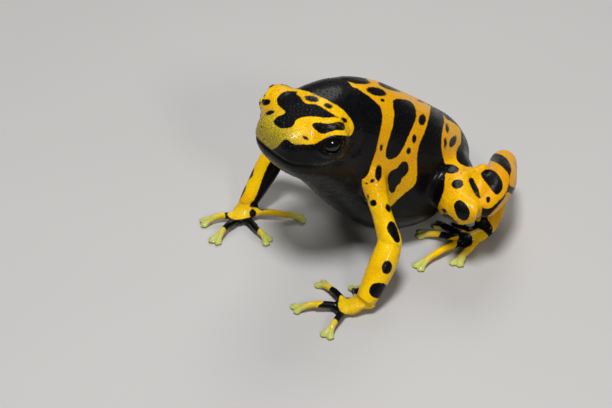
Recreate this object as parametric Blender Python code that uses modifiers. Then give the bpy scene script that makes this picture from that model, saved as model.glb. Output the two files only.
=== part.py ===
"""Yellow-banded poison dart frog, life size, sitting raised on its front legs.

The frog faces -Y with +Z up and its left side at +X, and the floor is z = 0. A lofted trunk
and lofted limbs are fused and smoothed into one body, which thin cuts then part at the neck
and the joints. Digits are joined to each hand and foot. The tables below are in millimetres,
and every maker of a shape turns them to metres with MM.
"""

from math import cos, pi, radians, sin

import bmesh
import bpy
from mathutils import Matrix, Vector
from mathutils.bvhtree import BVHTree

MM = 0.001

# Trunk, snout to vent: y and z of the section's top, y and z of its bottom, its half width,
# how high the widest place lies between bottom and top, and squareness (2 is an ellipse).
TRUNK = [
    (-5.2, 20.4, -5.3, 18.3, 1.5, 0.5, 2.3),
    (-4.7, 21.3, -5.2, 17.2, 2.9, 0.5, 2.6),
    (-3.3, 21.9, -4.3, 15.7, 3.9, 0.52, 2.7),
    (-1.3, 22.4, -2.7, 14.2, 4.7, 0.52, 2.6),
    (1.4, 22.9, -0.8, 12.1, 5.1, 0.5, 2.4),
    (4.6, 22.8, 1.2, 9.4, 5.5, 0.47, 2.2),
    (8.0, 21.9, 3.4, 6.3, 5.9, 0.44, 2.2),
    (11.4, 20.0, 5.7, 3.6, 6.5, 0.42, 2.2),
    (14.4, 17.6, 8.7, 1.4, 7.1, 0.41, 2.3),
    (17.2, 15.3, 12.4, 0.7, 7.3, 0.4, 2.3),
    (19.5, 13.3, 16.2, 0.9, 6.4, 0.4, 2.2),
    (21.5, 11.5, 19.4, 2.1, 4.9, 0.4, 2.1),
    (23.0, 9.2, 21.7, 3.8, 3.2, 0.42, 2.0),
    (23.7, 7.4, 23.1, 5.2, 1.5, 0.45, 2.0),
]
# The head is turned a little to the frog's left and tipped to that side, about the neck.
HEAD_PIVOT = (0.0, 5.0, 16.0)
HEAD_YAW = 7
HEAD_ROLL = 4
HEAD_BEND = (7.0, 1.0)
TRUNK_SIDES = 36
TRUNK_STEPS = 4

# Limb pieces: x outwards, y, z and the radius at each point of the centre line.
ARM_LEFT = {
    "upper_arm": [
        (3.6, 6.6, 14.4, 1.9), (6.0, 5.8, 12.0, 1.55),
        (8.5, 5.3, 9.4, 1.2), (10.7, 4.9, 7.1, 1.45),
    ],
    "forearm": [
        (10.9, 4.8, 6.9, 1.45), (11.5, 3.5, 5.2, 1.65),
        (12.2, 1.6, 3.2, 1.45), (12.7, -0.2, 1.2, 1.15),
    ],
}
ARM_RIGHT = {
    "upper_arm": [
        (3.6, 6.6, 14.4, 1.9), (6.2, 5.4, 12.0, 1.55),
        (8.7, 4.6, 9.6, 1.2), (10.8, 3.6, 7.3, 1.45),
    ],
    "forearm": [
        (10.9, 3.6, 7.1, 1.45), (10.7, 2.2, 5.3, 1.6),
        (10.2, 0.0, 3.1, 1.35), (9.8, -1.9, 1.2, 1.1),
    ],
}
LEG_LEFT = {
    "thigh": [
        (2.2, 19.6, 7.8, 2.3), (5.4, 17.8, 7.9, 2.7), (8.8, 15.9, 8.0, 2.9), (11.5, 14.5, 8.4, 2.25),
        (13.2, 15.0, 8.8, 1.6),
    ],
    "shank": [
        (13.3, 16.6, 8.8, 1.5), (12.3, 18.3, 8.7, 1.75), (10.2, 21.1, 8.0, 2.1), (7.8, 23.6, 7.1, 1.9),
        (6.0, 25.4, 6.5, 1.7),
    ],
    "tarsus": [
        (6.0, 25.7, 5.6, 1.5), (7.5, 23.9, 3.9, 1.3),
        (9.1, 21.8, 2.2, 1.15), (10.1, 20.0, 0.9, 0.95),
    ],
}
LEG_RIGHT = {
    "thigh": [
        (2.2, 19.6, 7.5, 2.3), (5.4, 17.7, 7.3, 2.7), (8.8, 15.6, 7.1, 2.9), (11.5, 14.0, 7.1, 2.25),
        (13.2, 14.4, 7.2, 1.6),
    ],
    "shank": [
        (13.3, 15.9, 7.2, 1.5), (12.5, 17.7, 7.0, 1.75), (10.5, 20.5, 6.3, 2.1), (8.2, 22.8, 5.4, 1.9),
        (6.6, 24.6, 4.8, 1.65),
    ],
    "tarsus": [
        (6.6, 24.8, 4.2, 1.4), (7.8, 23.2, 3.0, 1.25),
        (9.1, 21.5, 1.9, 1.1), (10.1, 19.9, 0.9, 0.95),
    ],
}
LIMB_SIDES = 14
LIMB_STEPS = 3
DIGIT_STEPS = 2
CAP_STEPS = (0.95, 0.75, 0.4)

# Hands and feet: the palm's centre line, and each digit's root, knuckle and tip with heights.
HAND_LEFT = {
    "palm": [(12.4, 0.0, 1.5, 0.95), (11.8, -0.9, 0.95, 1.3), (11.0, -1.9, 0.7, 1.1)],
    "digits": [
        [(11.4, -0.2, 0.8), (10.3, 0.7, 0.95), (8.9, 1.5, 0.5)],
        [(11.0, -1.3, 0.8), (8.8, -1.3, 1.0), (6.1, -1.4, 0.5)],
        [(10.9, -2.0, 0.8), (9.6, -4.0, 1.05), (8.0, -6.2, 0.5)],
        [(11.5, -1.8, 0.8), (12.7, -3.8, 1.0), (13.6, -5.7, 0.5)],
    ],
}
HAND_RIGHT = {
    "palm": [(9.8, -1.7, 1.5, 0.95), (9.6, -2.3, 0.95, 1.3), (9.2, -3.1, 0.7, 1.1)],
    "digits": [
        [(9.0, -1.6, 0.82), (7.5, 0.3, 1.15), (5.3, 3.4, 0.5)],
        [(8.7, -2.5, 0.78), (6.6, -2.6, 1.0), (4.0, -2.35, 0.5)],
        [(8.9, -3.2, 0.82), (8.25, -5.4, 1.05), (7.5, -7.55, 0.5)],
        [(9.5, -3.05, 0.79), (10.4, -5.0, 1.0), (11.2, -6.85, 0.5)],
    ],
}
FOOT = {
    "palm": [(9.9, 20.3, 1.2, 0.95), (9.9, 18.8, 0.85, 1.05), (9.6, 17.0, 0.7, 1.0)],
    "digits": [
        [(9.3, 18.7, 0.7), (8.0, 18.4, 0.9), (6.6, 18.4, 0.5)],
        [(9.2, 17.6, 0.7), (7.4, 16.9, 0.95), (5.2, 16.5, 0.5)],
        [(9.2, 16.9, 0.7), (7.6, 15.2, 1.0), (5.4, 13.7, 0.5)],
        [(9.7, 16.6, 0.7), (9.8, 13.4, 1.05), (10.0, 9.9, 0.5)],
        [(10.3, 18.6, 0.7), (11.3, 16.6, 0.95), (12.0, 14.0, 0.5)],
    ],
}
PALM_FLATNESS = 0.62
PALM_SIDES = 12
DIGIT_RADIUS = 0.44
DIGIT_SIDES = 8
DISC_HALVES = (0.72, 0.62, 0.42)
DISC_HEIGHT = 0.34
DISC_SEGMENTS = 8
DISC_RINGS = 6
CUTTER_SIDES = 24

EYE_CENTRE = (4.2, -0.4, 20.05)
EYE_RADIUS = 1.65
EYE_LOOK = (0.90, -0.34, 0.20)
EYE_SEGMENTS = 16
EYE_RINGS = 10
LID_RADIUS = 2.3
LID_SEGMENTS = 24
LID_RINGS = 16
SOCKET_RADIUS = 1.95
OPENING_REACH = 0.9
OPENING_HALF_LENGTH = 1.7
OPENING_HALF_HEIGHT = 1.25

# Mouth: the line runs where this plane meets the skin, from one jaw corner to the other.
MOUTH_MIDDLE = (0.0, -0.5, 17.5)
MOUTH_TILT = 14
MOUTH_REACH = 104
MOUTH_STEPS = 10
MOUTH_RADIUS = 0.2
LIP_RADIUS = 0.42
LIP_RISE = 0.42
LIP_INSET = 0.3
LIP_SIDES = 6
NOSTRIL = (2.0, -4.9, 20.3)
NOSTRIL_RADIUS = 0.27
NOSTRIL_SEGMENTS = 8
NOSTRIL_RINGS = 6
EARDRUM = (5.3, 2.8, 17.9)
EARDRUM_RADIUS = 0.85
EARDRUM_DEPTH = 0.18
EARDRUM_SEGMENTS = 12
EARDRUM_RINGS = 8

GAP = 0.3
FLOOR_CUT = ((10.0, 8.0, -0.15), (0.0, 0.0, 1.0), 30.0)
BLOCK_DEPTH = 4.0
VOXEL = 0.27
SMOOTHING = 6
# Points in metres that lie closer than this are one, and a ray goes on by one step past a hit.
SAME_PLACE = 1e-7
RAY_STEP = 1e-6
RAY_WAY = (0.02, 0.01, 1.0)
INSIDE_HEAD = (0.0, -2.0, 19.0)
INSIDE_TORSO = (0.0, 14.0, 10.5)
SKIN_ROUGHNESS = 0.3
SHARP_FROM = 50

# Thin cuts that part the body: a point of the cut, the way it faces and its radius.
NECK_CUT = ((0.0, 3.9, 15.6), (0.0, -0.95, 0.31), 9.5)
ARM_CUTS_LEFT = {
    "shoulder": ((7.2, 5.6, 10.8), (0.66, -0.12, -0.74), 2.7),
    "elbow": ((10.9, 4.7, 6.9), (0.35, -0.55, -0.76), 2.5),
    "wrist": ((12.5, 0.1, 1.65), (0.12, -0.70, -0.70), 2.0),
}
ARM_CUTS_RIGHT = {
    "shoulder": ((7.1, 5.1, 11.1), (0.66, -0.24, -0.70), 2.7),
    "elbow": ((10.95, 3.4, 7.1), (0.25, -0.55, -0.80), 2.5),
    "wrist": ((9.95, -1.95, 1.55), (-0.20, -0.68, -0.70), 2.0),
}
LEG_CUTS_LEFT = {
    "hip": ((8.7, 16.4, 8.0), (0.98, -0.18, 0.0), 4.2),
    "knee": ((10.1, 18.1, 8.2), (0.63, 0.73, -0.27), 6.0),
    "heel": ((6.5, 25.0, 5.7), (-0.15, 0.14, -0.98), 3.0),
    "ankle": ((9.85, 20.4, 1.35), (0.35, -0.72, -0.60), 2.0),
}
LEG_CUTS_RIGHT = {
    "hip": ((8.7, 16.1, 7.1), (0.98, -0.18, 0.0), 4.2),
    "knee": ((10.1, 17.4, 6.9), (0.63, 0.74, -0.24), 6.0),
    "heel": ((7.6, 23.5, 4.2), (-0.17, 0.05, -0.98), 3.8),
    "ankle": ((9.85, 20.2, 1.3), (0.35, -0.74, -0.57), 2.0),
}

# Triangles that each node keeps after thinning.
TRIANGLES = {
    "head": 2200,
    "torso": 2600,
    "upper_arm": 300,
    "forearm": 420,
    "thigh": 460,
    "shank": 460,
    "tarsus": 300,
}

COLOURS = {
    "yellow": (0.80, 0.47, 0.02, 1.0),
    "black": (0.012, 0.012, 0.014, 1.0),
}


def clear_scene():
    for obj in list(bpy.data.objects):
        bpy.data.objects.remove(obj, do_unlink=True)


def collection(name):
    made = bpy.data.collections.new(name)
    bpy.context.scene.collection.children.link(made)
    return made


def skin_material(name, colour, roughness):
    material = bpy.data.materials.new(name)
    material.use_nodes = True
    shader = material.node_tree.nodes["Principled BSDF"]
    shader.inputs["Base Color"].default_value = COLOURS[colour]
    shader.inputs["Roughness"].default_value = roughness
    shader.inputs["Metallic"].default_value = 0.0
    return material


def mirrored(point, side):
    return Vector((point[0] * side, point[1], point[2]))


def add_object(name, bm, home):
    bmesh.ops.recalc_face_normals(bm, faces=bm.faces)
    mesh = bpy.data.meshes.new(name)
    bm.to_mesh(mesh)
    bm.free()
    obj = bpy.data.objects.new(name, mesh)
    home.objects.link(obj)
    return obj


def spline(rows, steps):
    """Points of a smooth curve through rows of numbers, with steps between two rows."""
    rows = [Vector(row) for row in rows]
    ends = [rows[0] * 2 - rows[1]] + rows + [rows[-1] * 2 - rows[-2]]
    out = []
    for i in range(1, len(ends) - 2):
        a, b, c, d = ends[i - 1:i + 3]
        for k in range(steps):
            t = k / steps
            out.append(0.5 * (2 * b + (c - a) * t + (2 * a - 5 * b + 4 * c - d) * t**2
                              + (3 * b - 3 * c + d - a) * t**3))
    return out + [rows[-1]]


def skin_rings(rings, name, home):
    """A closed mesh through rings of points, with a point at the middle of each end."""
    bm = bmesh.new()
    made = [[bm.verts.new(p * MM) for p in ring] for ring in rings]
    count = len(rings[0])
    for low, high in zip(made, made[1:]):
        for i in range(count):
            j = (i + 1) % count
            bm.faces.new((low[i], low[j], high[j], high[i]))
    for ring in (made[0], made[-1]):
        middle = bm.verts.new(sum((v.co for v in ring), Vector()) / count)
        for i in range(count):
            bm.faces.new((ring[i], ring[(i + 1) % count], middle))
    return add_object(name, bm, home)


def turned(point):
    """A point of the straight body, moved as the turn of the head moves it."""
    back, front = HEAD_BEND
    share = min(max((back - point.y) / (back - front), 0), 1)
    share = share * share * (3 - 2 * share)
    pivot = Vector(HEAD_PIVOT)
    yaw = Matrix.Rotation(radians(HEAD_YAW) * share, 3, "Z")
    roll = Matrix.Rotation(radians(HEAD_ROLL) * share, 3, "Y")
    return pivot + yaw @ (roll @ (point - pivot))


def squared(value, squareness):
    """A cosine or sine made squarer, keeping its sign."""
    return abs(value) ** (2 / squareness) * (1 if value > 0 else -1)


def trunk(home):
    rings = []
    for top_y, top_z, low_y, low_z, wide, share, square in spline(TRUNK, TRUNK_STEPS):
        top = Vector((0, top_y, top_z))
        low = Vector((0, low_y, low_z))
        middle = low.lerp(top, share)
        ring = []
        for i in range(TRUNK_SIDES):
            angle = 2 * pi * i / TRUNK_SIDES
            reach = squared(sin(angle), square)
            height = (top - middle) * reach if reach > 0 else (middle - low) * reach
            across = Vector((squared(cos(angle), square) * wide, 0, 0))
            ring.append(turned(middle + across + height))
        rings.append(ring)
    return skin_rings(rings, "trunk", home)


def tube(points, sides, steps, flatness, name, home):
    """A tube with rounded ends through points that each carry their radius."""
    line = spline(points, steps)
    centres = [row.to_3d() for row in line]
    radii = [row[3] for row in line]
    start = (centres[1] - centres[0]).normalized()
    end = (centres[-1] - centres[-2]).normalized()
    head = [(centres[0] - start * radii[0] * b, radii[0] * (1 - b * b)**0.5) for b in CAP_STEPS]
    tail = [(centres[-1] + end * radii[-1] * b, radii[-1] * (1 - b * b)**0.5) for b in CAP_STEPS[::-1]]
    stops = head + list(zip(centres, radii)) + tail
    across = start.cross(Vector((0, 0, 1))).normalized()
    rings = []
    for i, (centre, radius) in enumerate(stops):
        ahead = stops[min(i + 1, len(stops) - 1)][0] - stops[max(i - 1, 0)][0]
        ahead.normalize()
        across = (across - ahead * across.dot(ahead)).normalized()
        rise = across.cross(ahead) * flatness
        turns = [2 * pi * k / sides for k in range(sides)]
        rings.append([centre + (across * cos(t) + rise * sin(t)) * radius for t in turns])
    return skin_rings(rings, name, home)


def ball(centre, halves, segments, rings, facing, name, home):
    """An ellipsoid whose first half size points along facing, with its third half size up."""
    bm = bmesh.new()
    bmesh.ops.create_uvsphere(bm, u_segments=segments, v_segments=rings, radius=1.0)
    ahead = Vector(facing).normalized()
    across = Vector((0, 0, 1)).cross(ahead).normalized()
    turn = Matrix((ahead, across, ahead.cross(across))).transposed().to_4x4()
    place = Matrix.Translation(Vector(centre) * MM) @ turn @ Matrix.Diagonal((*halves, 1 / MM)) * MM
    place[3][3] = 1.0
    bmesh.ops.transform(bm, matrix=place, verts=bm.verts)
    return add_object(name, bm, home)


def disc_cutter(centre, facing, radius, thickness, shift, name, home):
    """A flat round cutter, moved by shift along the way it faces."""
    bm = bmesh.new()
    bmesh.ops.create_cone(
        bm, cap_ends=True, segments=CUTTER_SIDES, radius1=radius * MM, radius2=radius * MM,
        depth=thickness * MM,
    )
    facing = Vector(facing).normalized()
    turn = facing.to_track_quat("Z", "Y").to_matrix().to_4x4()
    place = Matrix.Translation((Vector(centre) + facing * shift) * MM) @ turn
    bmesh.ops.transform(bm, matrix=place, verts=bm.verts)
    return add_object(name, bm, home)


def evaluated_mesh(obj):
    graph = bpy.context.evaluated_depsgraph_get()
    mesh = bpy.data.meshes.new_from_object(obj.evaluated_get(graph))
    obj.modifiers.clear()
    obj.data = mesh
    return obj


def join(objects, name, home):
    """One object with the faces of all, each still a closed surface of its own."""
    bm = bmesh.new()
    for obj in objects:
        bm.from_mesh(obj.data)
        bpy.data.objects.remove(obj, do_unlink=True)
    return add_object(name, bm, home)


def combine(obj, others, operation):
    """The object with a collection of closed solids added to it or taken from it."""
    group = bpy.data.collections.new("group")
    for other in others:
        group.objects.link(other)
    change = obj.modifiers.new(operation.lower(), "BOOLEAN")
    change.operation = operation
    change.operand_type = "COLLECTION"
    change.collection = group
    change.solver = "EXACT"
    bpy.context.view_layer.update()
    evaluated_mesh(obj)
    for other in others:
        bpy.data.objects.remove(other, do_unlink=True)
    bpy.data.collections.remove(group)
    return keep_largest(obj)


def islands(bm):
    left = set(bm.verts)
    found = []
    while left:
        todo = [left.pop()]
        island = set(todo)
        while todo:
            for edge in todo.pop().link_edges:
                for vert in edge.verts:
                    if vert in left:
                        left.remove(vert)
                        island.add(vert)
                        todo.append(vert)
        found.append(island)
    return found


def keep_largest(obj):
    bm = bmesh.new()
    bm.from_mesh(obj.data)
    bmesh.ops.remove_doubles(bm, verts=bm.verts, dist=SAME_PLACE)
    found = sorted(islands(bm), key=len)
    for island in found[:-1]:
        bmesh.ops.delete(bm, geom=list(island), context="VERTS")
    bm.to_mesh(obj.data)
    bm.free()
    return obj


def thin(obj, triangles):
    """The mesh brought down to about a number of triangles, without loose flaps."""
    obj.data.calc_loop_triangles()
    have = len(obj.data.loop_triangles)
    if have > triangles:
        change = obj.modifiers.new("thin", "DECIMATE")
        change.ratio = triangles / have
        change.use_collapse_triangulate = True
        evaluated_mesh(obj)
    bm = bmesh.new()
    bm.from_mesh(obj.data)
    flaps = [face for face in bm.faces if sum(edge.is_boundary for edge in face.edges) > 1]
    bmesh.ops.delete(bm, geom=flaps, context="FACES")
    bm.to_mesh(obj.data)
    bm.free()
    return obj


def limb_tubes(plan, side, home):
    """A tube for each piece of a limb, on one side of the body."""
    made = []
    for points in plan.values():
        line = [(*mirrored(p, side), p[3]) for p in points]
        made.append(tube(line, LIMB_SIDES, LIMB_STEPS, 1.0, "limb", home))
    return made


def fused(pieces, home):
    """One smooth skin round overlapping solids."""
    whole = join(pieces, "whole", home)
    fuse = whole.modifiers.new("fuse", "REMESH")
    fuse.mode = "VOXEL"
    fuse.voxel_size = VOXEL * MM
    ease = whole.modifiers.new("ease", "SMOOTH")
    ease.factor = 0.5
    ease.iterations = SMOOTHING
    return evaluated_mesh(whole)


def parted(whole, cuts, home):
    """The pieces that thin cuts part a body into, the largest first."""
    cutter = join([disc_cutter(*cut, GAP, 0, "cut", home) for cut in cuts], "cutter", home)
    change = whole.modifiers.new("part", "BOOLEAN")
    change.operation = "DIFFERENCE"
    change.object = cutter
    change.solver = "EXACT"
    bpy.context.view_layer.update()
    evaluated_mesh(whole)
    bpy.data.objects.remove(cutter, do_unlink=True)
    bm = bmesh.new()
    bm.from_mesh(whole.data)
    bmesh.ops.remove_doubles(bm, verts=bm.verts, dist=SAME_PLACE)
    pieces = []
    for island in sorted(islands(bm), key=len, reverse=True):
        faces = {face for vert in island for face in vert.link_faces}
        piece = bmesh.new()
        copies = {vert: piece.verts.new(vert.co) for vert in island}
        for face in faces:
            piece.faces.new([copies[vert] for vert in face.verts])
        pieces.append(add_object("piece", piece, home))
    bm.free()
    bpy.data.objects.remove(whole, do_unlink=True)
    return pieces


def trimmed(obj, cut, side, beyond, home):
    """The object without what lies beyond a cut, 1 for the side that the cut faces."""
    centre, facing, radius = cut
    shift = beyond * (BLOCK_DEPTH - GAP) / 2
    place = (mirrored(centre, side), mirrored(facing, side), radius)
    block = disc_cutter(*place, BLOCK_DEPTH, shift, "cut", home)
    return combine(obj, [block], "DIFFERENCE")


def mirrored_cut(cut, side):
    centre, facing, radius = cut
    return mirrored(centre, side), mirrored(facing, side), radius


def holds(piece, point):
    """Whether a point lies inside a closed piece, from how many faces are above it."""
    ahead = Vector(RAY_WAY).normalized()
    hits = 0
    while True:
        found, place = piece.ray_cast(point, ahead)[:2]
        if not found:
            return hits % 2 == 1
        hits += 1
        point = place + ahead * RAY_STEP


def take_piece(pieces, point):
    """The piece that a point in millimetres lies in, taken out of the list."""
    chosen = next(piece for piece in pieces if holds(piece, Vector(point) * MM))
    pieces.remove(chosen)
    return chosen


def hand_or_foot(plan, cut, side, name, home):
    palm = [(*mirrored(p, side), p[3]) for p in plan["palm"]]
    node = tube(palm, PALM_SIDES, LIMB_STEPS, PALM_FLATNESS, name, home)
    digits = []
    for root, knuckle, tip in plan["digits"]:
        points = [(*mirrored(p, side), DIGIT_RADIUS) for p in (root, knuckle, tip)]
        digits.append(tube(points, DIGIT_SIDES, DIGIT_STEPS, 1.0, "digit", home))
        end = mirrored(tip, side)
        ahead = end - mirrored(knuckle, side)
        ahead.z = 0
        end.z = DISC_HEIGHT
        digits.append(ball(end, DISC_HALVES, DISC_SEGMENTS, DISC_RINGS, ahead, "disc", home))
    combine(node, digits, "UNION")
    trimmed(node, cut, side, -1, home)
    return trimmed(node, FLOOR_CUT, side, -1, home)


def carve_head(head, home):
    """Eye openings, mouth, nostrils and eardrums cut into the head."""
    tree = BVHTree.FromPolygons(
        [v.co / MM for v in head.data.vertices], [p.vertices for p in head.data.polygons]
    )
    tilt = radians(MOUTH_TILT)
    start = Vector(MOUTH_MIDDLE)
    middle = turned(start)
    forward = Vector((0, -cos(tilt), sin(tilt)))
    line = []
    for step in range(-MOUTH_STEPS, MOUTH_STEPS + 1):
        turn = radians(MOUTH_REACH) * step / MOUTH_STEPS
        ray = forward * cos(turn) + Vector((sin(turn), 0, 0))
        line.append(tree.ray_cast(middle, turned(start + ray) - middle)[0])
    upward = turned(start + Vector((0, sin(tilt), cos(tilt)))) - middle
    inward = [(middle - p).normalized() * LIP_INSET for p in line]
    lip = [(*(p + step + upward * LIP_RISE), LIP_RADIUS) for p, step in zip(line, inward)]
    combine(head, [tube(lip, LIP_SIDES, 1, 1.0, "lip", home)], "UNION")
    groove = [(*p, MOUTH_RADIUS) for p in line]
    cuts = [tube(groove, LIP_SIDES, 1, 1.0, "mouth", home)]
    for side in (1, -1):
        centre = mirrored(EYE_CENTRE, side)
        eye = turned(centre)
        look = (turned(centre + mirrored(EYE_LOOK, side)) - eye).normalized()
        cuts.append(ball(eye, [SOCKET_RADIUS] * 3, EYE_SEGMENTS, EYE_RINGS, look, "socket", home))
        reach = SOCKET_RADIUS * OPENING_REACH
        halves = (reach, OPENING_HALF_LENGTH, OPENING_HALF_HEIGHT)
        middle_out = eye + look * reach
        cuts.append(ball(middle_out, halves, EYE_SEGMENTS, EYE_RINGS, look, "opening", home))
        spot = tree.find_nearest(turned(mirrored(NOSTRIL, side)))[0]
        halves = [NOSTRIL_RADIUS] * 3
        cuts.append(ball(spot, halves, NOSTRIL_SEGMENTS, NOSTRIL_RINGS, (1, 0, 0), "nostril", home))
        drum, normal = tree.find_nearest(turned(mirrored(EARDRUM, side)))[:2]
        halves = (EARDRUM_DEPTH, EARDRUM_RADIUS, EARDRUM_RADIUS)
        cuts.append(ball(drum, halves, EARDRUM_SEGMENTS, EARDRUM_RINGS, normal, "eardrum", home))
    return combine(head, cuts, "DIFFERENCE")


def finish(obj, name, colour):
    obj.name = name
    obj.data.name = name
    obj.data.materials.clear()
    obj.data.materials.append(skin_material(name + "_skin", colour, SKIN_ROUGHNESS))
    obj.data.shade_smooth()
    obj.data.set_sharp_from_angle(angle=radians(SHARP_FROM))
    return obj


def centre(home):
    """The nodes moved along the floor until the middle of their bounding box is at the origin."""
    points = [vert.co for obj in home.objects for vert in obj.data.vertices]
    low = Vector((min(p.x for p in points), min(p.y for p in points), 0.0))
    high = Vector((max(p.x for p in points), max(p.y for p in points), 0.0))
    for obj in home.objects:
        obj.data.transform(Matrix.Translation((low + high) / -2))


def build():
    clear_scene()
    home = collection("yellow_banded_dart_frog")
    sides = (
        (1, "left", ARM_LEFT, LEG_LEFT, ARM_CUTS_LEFT, LEG_CUTS_LEFT, HAND_LEFT),
        (-1, "right", ARM_RIGHT, LEG_RIGHT, ARM_CUTS_RIGHT, LEG_CUTS_RIGHT, HAND_RIGHT),
    )
    body = [trunk(home)]
    cuts = [NECK_CUT]
    for side, word, arm, leg, arm_cuts, leg_cuts, hand in sides:
        body += limb_tubes({**arm, "thigh": leg["thigh"]}, side, home)
        eye = turned(mirrored(EYE_CENTRE, side))
        body.append(ball(eye, [LID_RADIUS] * 3, LID_SEGMENTS, LID_RINGS, (1, 0, 0), "lid", home))
        cuts += [mirrored_cut(arm_cuts[joint], side) for joint in ("shoulder", "elbow")]
        cuts.append(mirrored_cut(leg_cuts["hip"], side))
    pieces = parted(fused(body, home), cuts, home)
    head = take_piece(pieces, INSIDE_HEAD)
    torso = take_piece(pieces, INSIDE_TORSO)
    carve_head(thin(head, TRIANGLES["head"]), home)
    finish(head, "head", "yellow")
    finish(thin(torso, TRIANGLES["torso"]), "torso", "black")
    for side, word, arm, leg, arm_cuts, leg_cuts, hand in sides:
        eye = turned(mirrored(EYE_CENTRE, side))
        eyeball = ball(eye, [EYE_RADIUS] * 3, EYE_SEGMENTS, EYE_RINGS, (1, 0, 0), "eye", home)
        finish(eyeball, f"eye_{word}", "black")
        lower = {name: leg[name] for name in ("shank", "tarsus")}
        heel = mirrored_cut(leg_cuts["heel"], side)
        pieces += parted(fused(limb_tubes(lower, side, home), home), [heel], home)
        nodes = {}
        for part, points in (*arm.items(), *leg.items()):
            nodes[part] = take_piece(pieces, mirrored(points[-2], side))
        trimmed(nodes["forearm"], arm_cuts["wrist"], side, 1, home)
        trimmed(nodes["thigh"], leg_cuts["knee"], side, 1, home)
        trimmed(nodes["shank"], leg_cuts["knee"], side, -1, home)
        trimmed(nodes["tarsus"], leg_cuts["ankle"], side, 1, home)
        for part, node in nodes.items():
            thin(node, TRIANGLES[part])
        nodes["hand"] = hand_or_foot(hand, arm_cuts["wrist"], side, "hand", home)
        nodes["foot"] = hand_or_foot(FOOT, leg_cuts["ankle"], side, "foot", home)
        for part, node in nodes.items():
            finish(node, f"{part}_{word}", "yellow")
    for scrap in pieces:
        bpy.data.objects.remove(scrap, do_unlink=True)
    centre(home)


build()
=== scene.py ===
# %% [markdown]
# # A yellow-banded poison dart frog, life size
# The real animal is about 33 mm long, glossy black with golden bands that run over the head,
# the middle and the hips, and yellow legs with black spots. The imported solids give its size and
# pose. This lesson puts one living skin over them, paints the markings by rule and lights it.

# %% Load the solids
from math import cos, radians, sin

import bmesh
import bpy
import numpy as np
from mathutils import Matrix, Vector
from mathutils.bvhtree import BVHTree


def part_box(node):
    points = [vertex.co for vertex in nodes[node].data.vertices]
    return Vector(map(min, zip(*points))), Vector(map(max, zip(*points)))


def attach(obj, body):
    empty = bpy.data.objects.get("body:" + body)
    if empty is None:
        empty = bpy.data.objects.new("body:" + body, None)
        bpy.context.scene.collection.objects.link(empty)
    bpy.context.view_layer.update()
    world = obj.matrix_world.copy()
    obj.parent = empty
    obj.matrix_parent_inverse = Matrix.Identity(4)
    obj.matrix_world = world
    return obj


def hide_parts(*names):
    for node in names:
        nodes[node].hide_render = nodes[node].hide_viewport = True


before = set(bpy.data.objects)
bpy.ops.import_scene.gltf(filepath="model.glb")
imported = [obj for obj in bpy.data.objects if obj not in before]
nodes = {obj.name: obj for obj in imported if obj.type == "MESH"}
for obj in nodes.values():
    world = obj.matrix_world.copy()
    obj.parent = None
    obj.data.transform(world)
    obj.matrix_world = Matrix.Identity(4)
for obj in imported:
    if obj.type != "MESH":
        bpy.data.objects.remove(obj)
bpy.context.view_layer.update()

MM = 0.001
flesh = sorted(name for name in nodes if not name.startswith("eye_"))
print("nodes of flesh:", ", ".join(flesh))

# %% [markdown]
# ## The camera
# The photographer looked down at the frog's left front from about 20 cm away. A long lens
# keeps the near hand from looking too big. The camera is made first, because the markings are
# placed by looking through it: a point of the picture becomes a ray, and the ray finds the skin.

# %% Place the camera
PICTURE = (612, 408)
SENSOR = 36.0
LENS = 100.0
AZIMUTH = radians(56)
ELEVATION = radians(39)
DISTANCE = 202.0
TARGET_FROM_EYE = np.array((-5.112, 9.843, -10.75))
TARGET_IN_PICTURE = (372, 165)


def middle_of(name):
    """The middle of a node's box, in millimetres."""
    low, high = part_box(name)
    return (np.array(low) + np.array(high)) / 2 / MM


toward = np.array((sin(AZIMUTH) * cos(ELEVATION), -cos(AZIMUTH) * cos(ELEVATION), sin(ELEVATION)))
across = np.array((cos(AZIMUTH), sin(AZIMUTH), 0.0))
upward = np.cross(toward, across)
focal = PICTURE[0] / SENSOR * LENS
off_right, off_down = ((TARGET_IN_PICTURE[i] - PICTURE[i] / 2) / focal * DISTANCE for i in (0, 1))
target = middle_of("eye_left") + TARGET_FROM_EYE
eye_point = target + toward * DISTANCE - across * off_right + upward * off_down

camera = bpy.data.objects.new("camera", bpy.data.cameras.new("camera"))
camera.data.lens = LENS
camera.data.sensor_width = SENSOR
camera.data.clip_start = 0.01
camera.matrix_world = Matrix((
    (across[0], upward[0], toward[0], eye_point[0] * MM),
    (across[1], upward[1], toward[1], eye_point[1] * MM),
    (across[2], upward[2], toward[2], eye_point[2] * MM),
    (0, 0, 0, 1),
))
bpy.context.scene.collection.objects.link(camera)
bpy.context.scene.camera = camera


def seen_at(points):
    """Where points in millimetres are seen in the picture, and the picture's scale there."""
    away = points - eye_point
    depth = -(away @ toward)
    right = PICTURE[0] / 2 + focal * (away @ across) / depth
    down = PICTURE[1] / 2 - focal * (away @ upward) / depth
    return np.stack([right, down], -1), focal / depth


def ray_through(pixel):
    """The direction from the camera through a pixel of the picture."""
    right = (pixel[0] - PICTURE[0] / 2) / focal
    down = (pixel[1] - PICTURE[1] / 2) / focal
    return right * across - down * upward - toward


def at_height(pixel, height):
    """The place at a height above the floor, in millimetres, that a pixel shows."""
    ray = ray_through(pixel)
    return eye_point + ray * (height - eye_point[2]) / ray[2]


def at_side(pixel, x):
    """The place at a distance to the frog's left of its middle that a pixel shows."""
    ray = ray_through(pixel)
    return eye_point + ray * (x - eye_point[0]) / ray[0]


print("camera", [round(float(v), 1) for v in eye_point], "mm")

# %% [markdown]
# ## The skin
# A frog's skin has no seams, but the solids are parted by thin cuts at the joints. All the
# solids of flesh are puffed up a little, so that they touch, fused by a voxel remesh and drawn
# in again. Smoothing that doesn't shrink takes the facets away.

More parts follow.
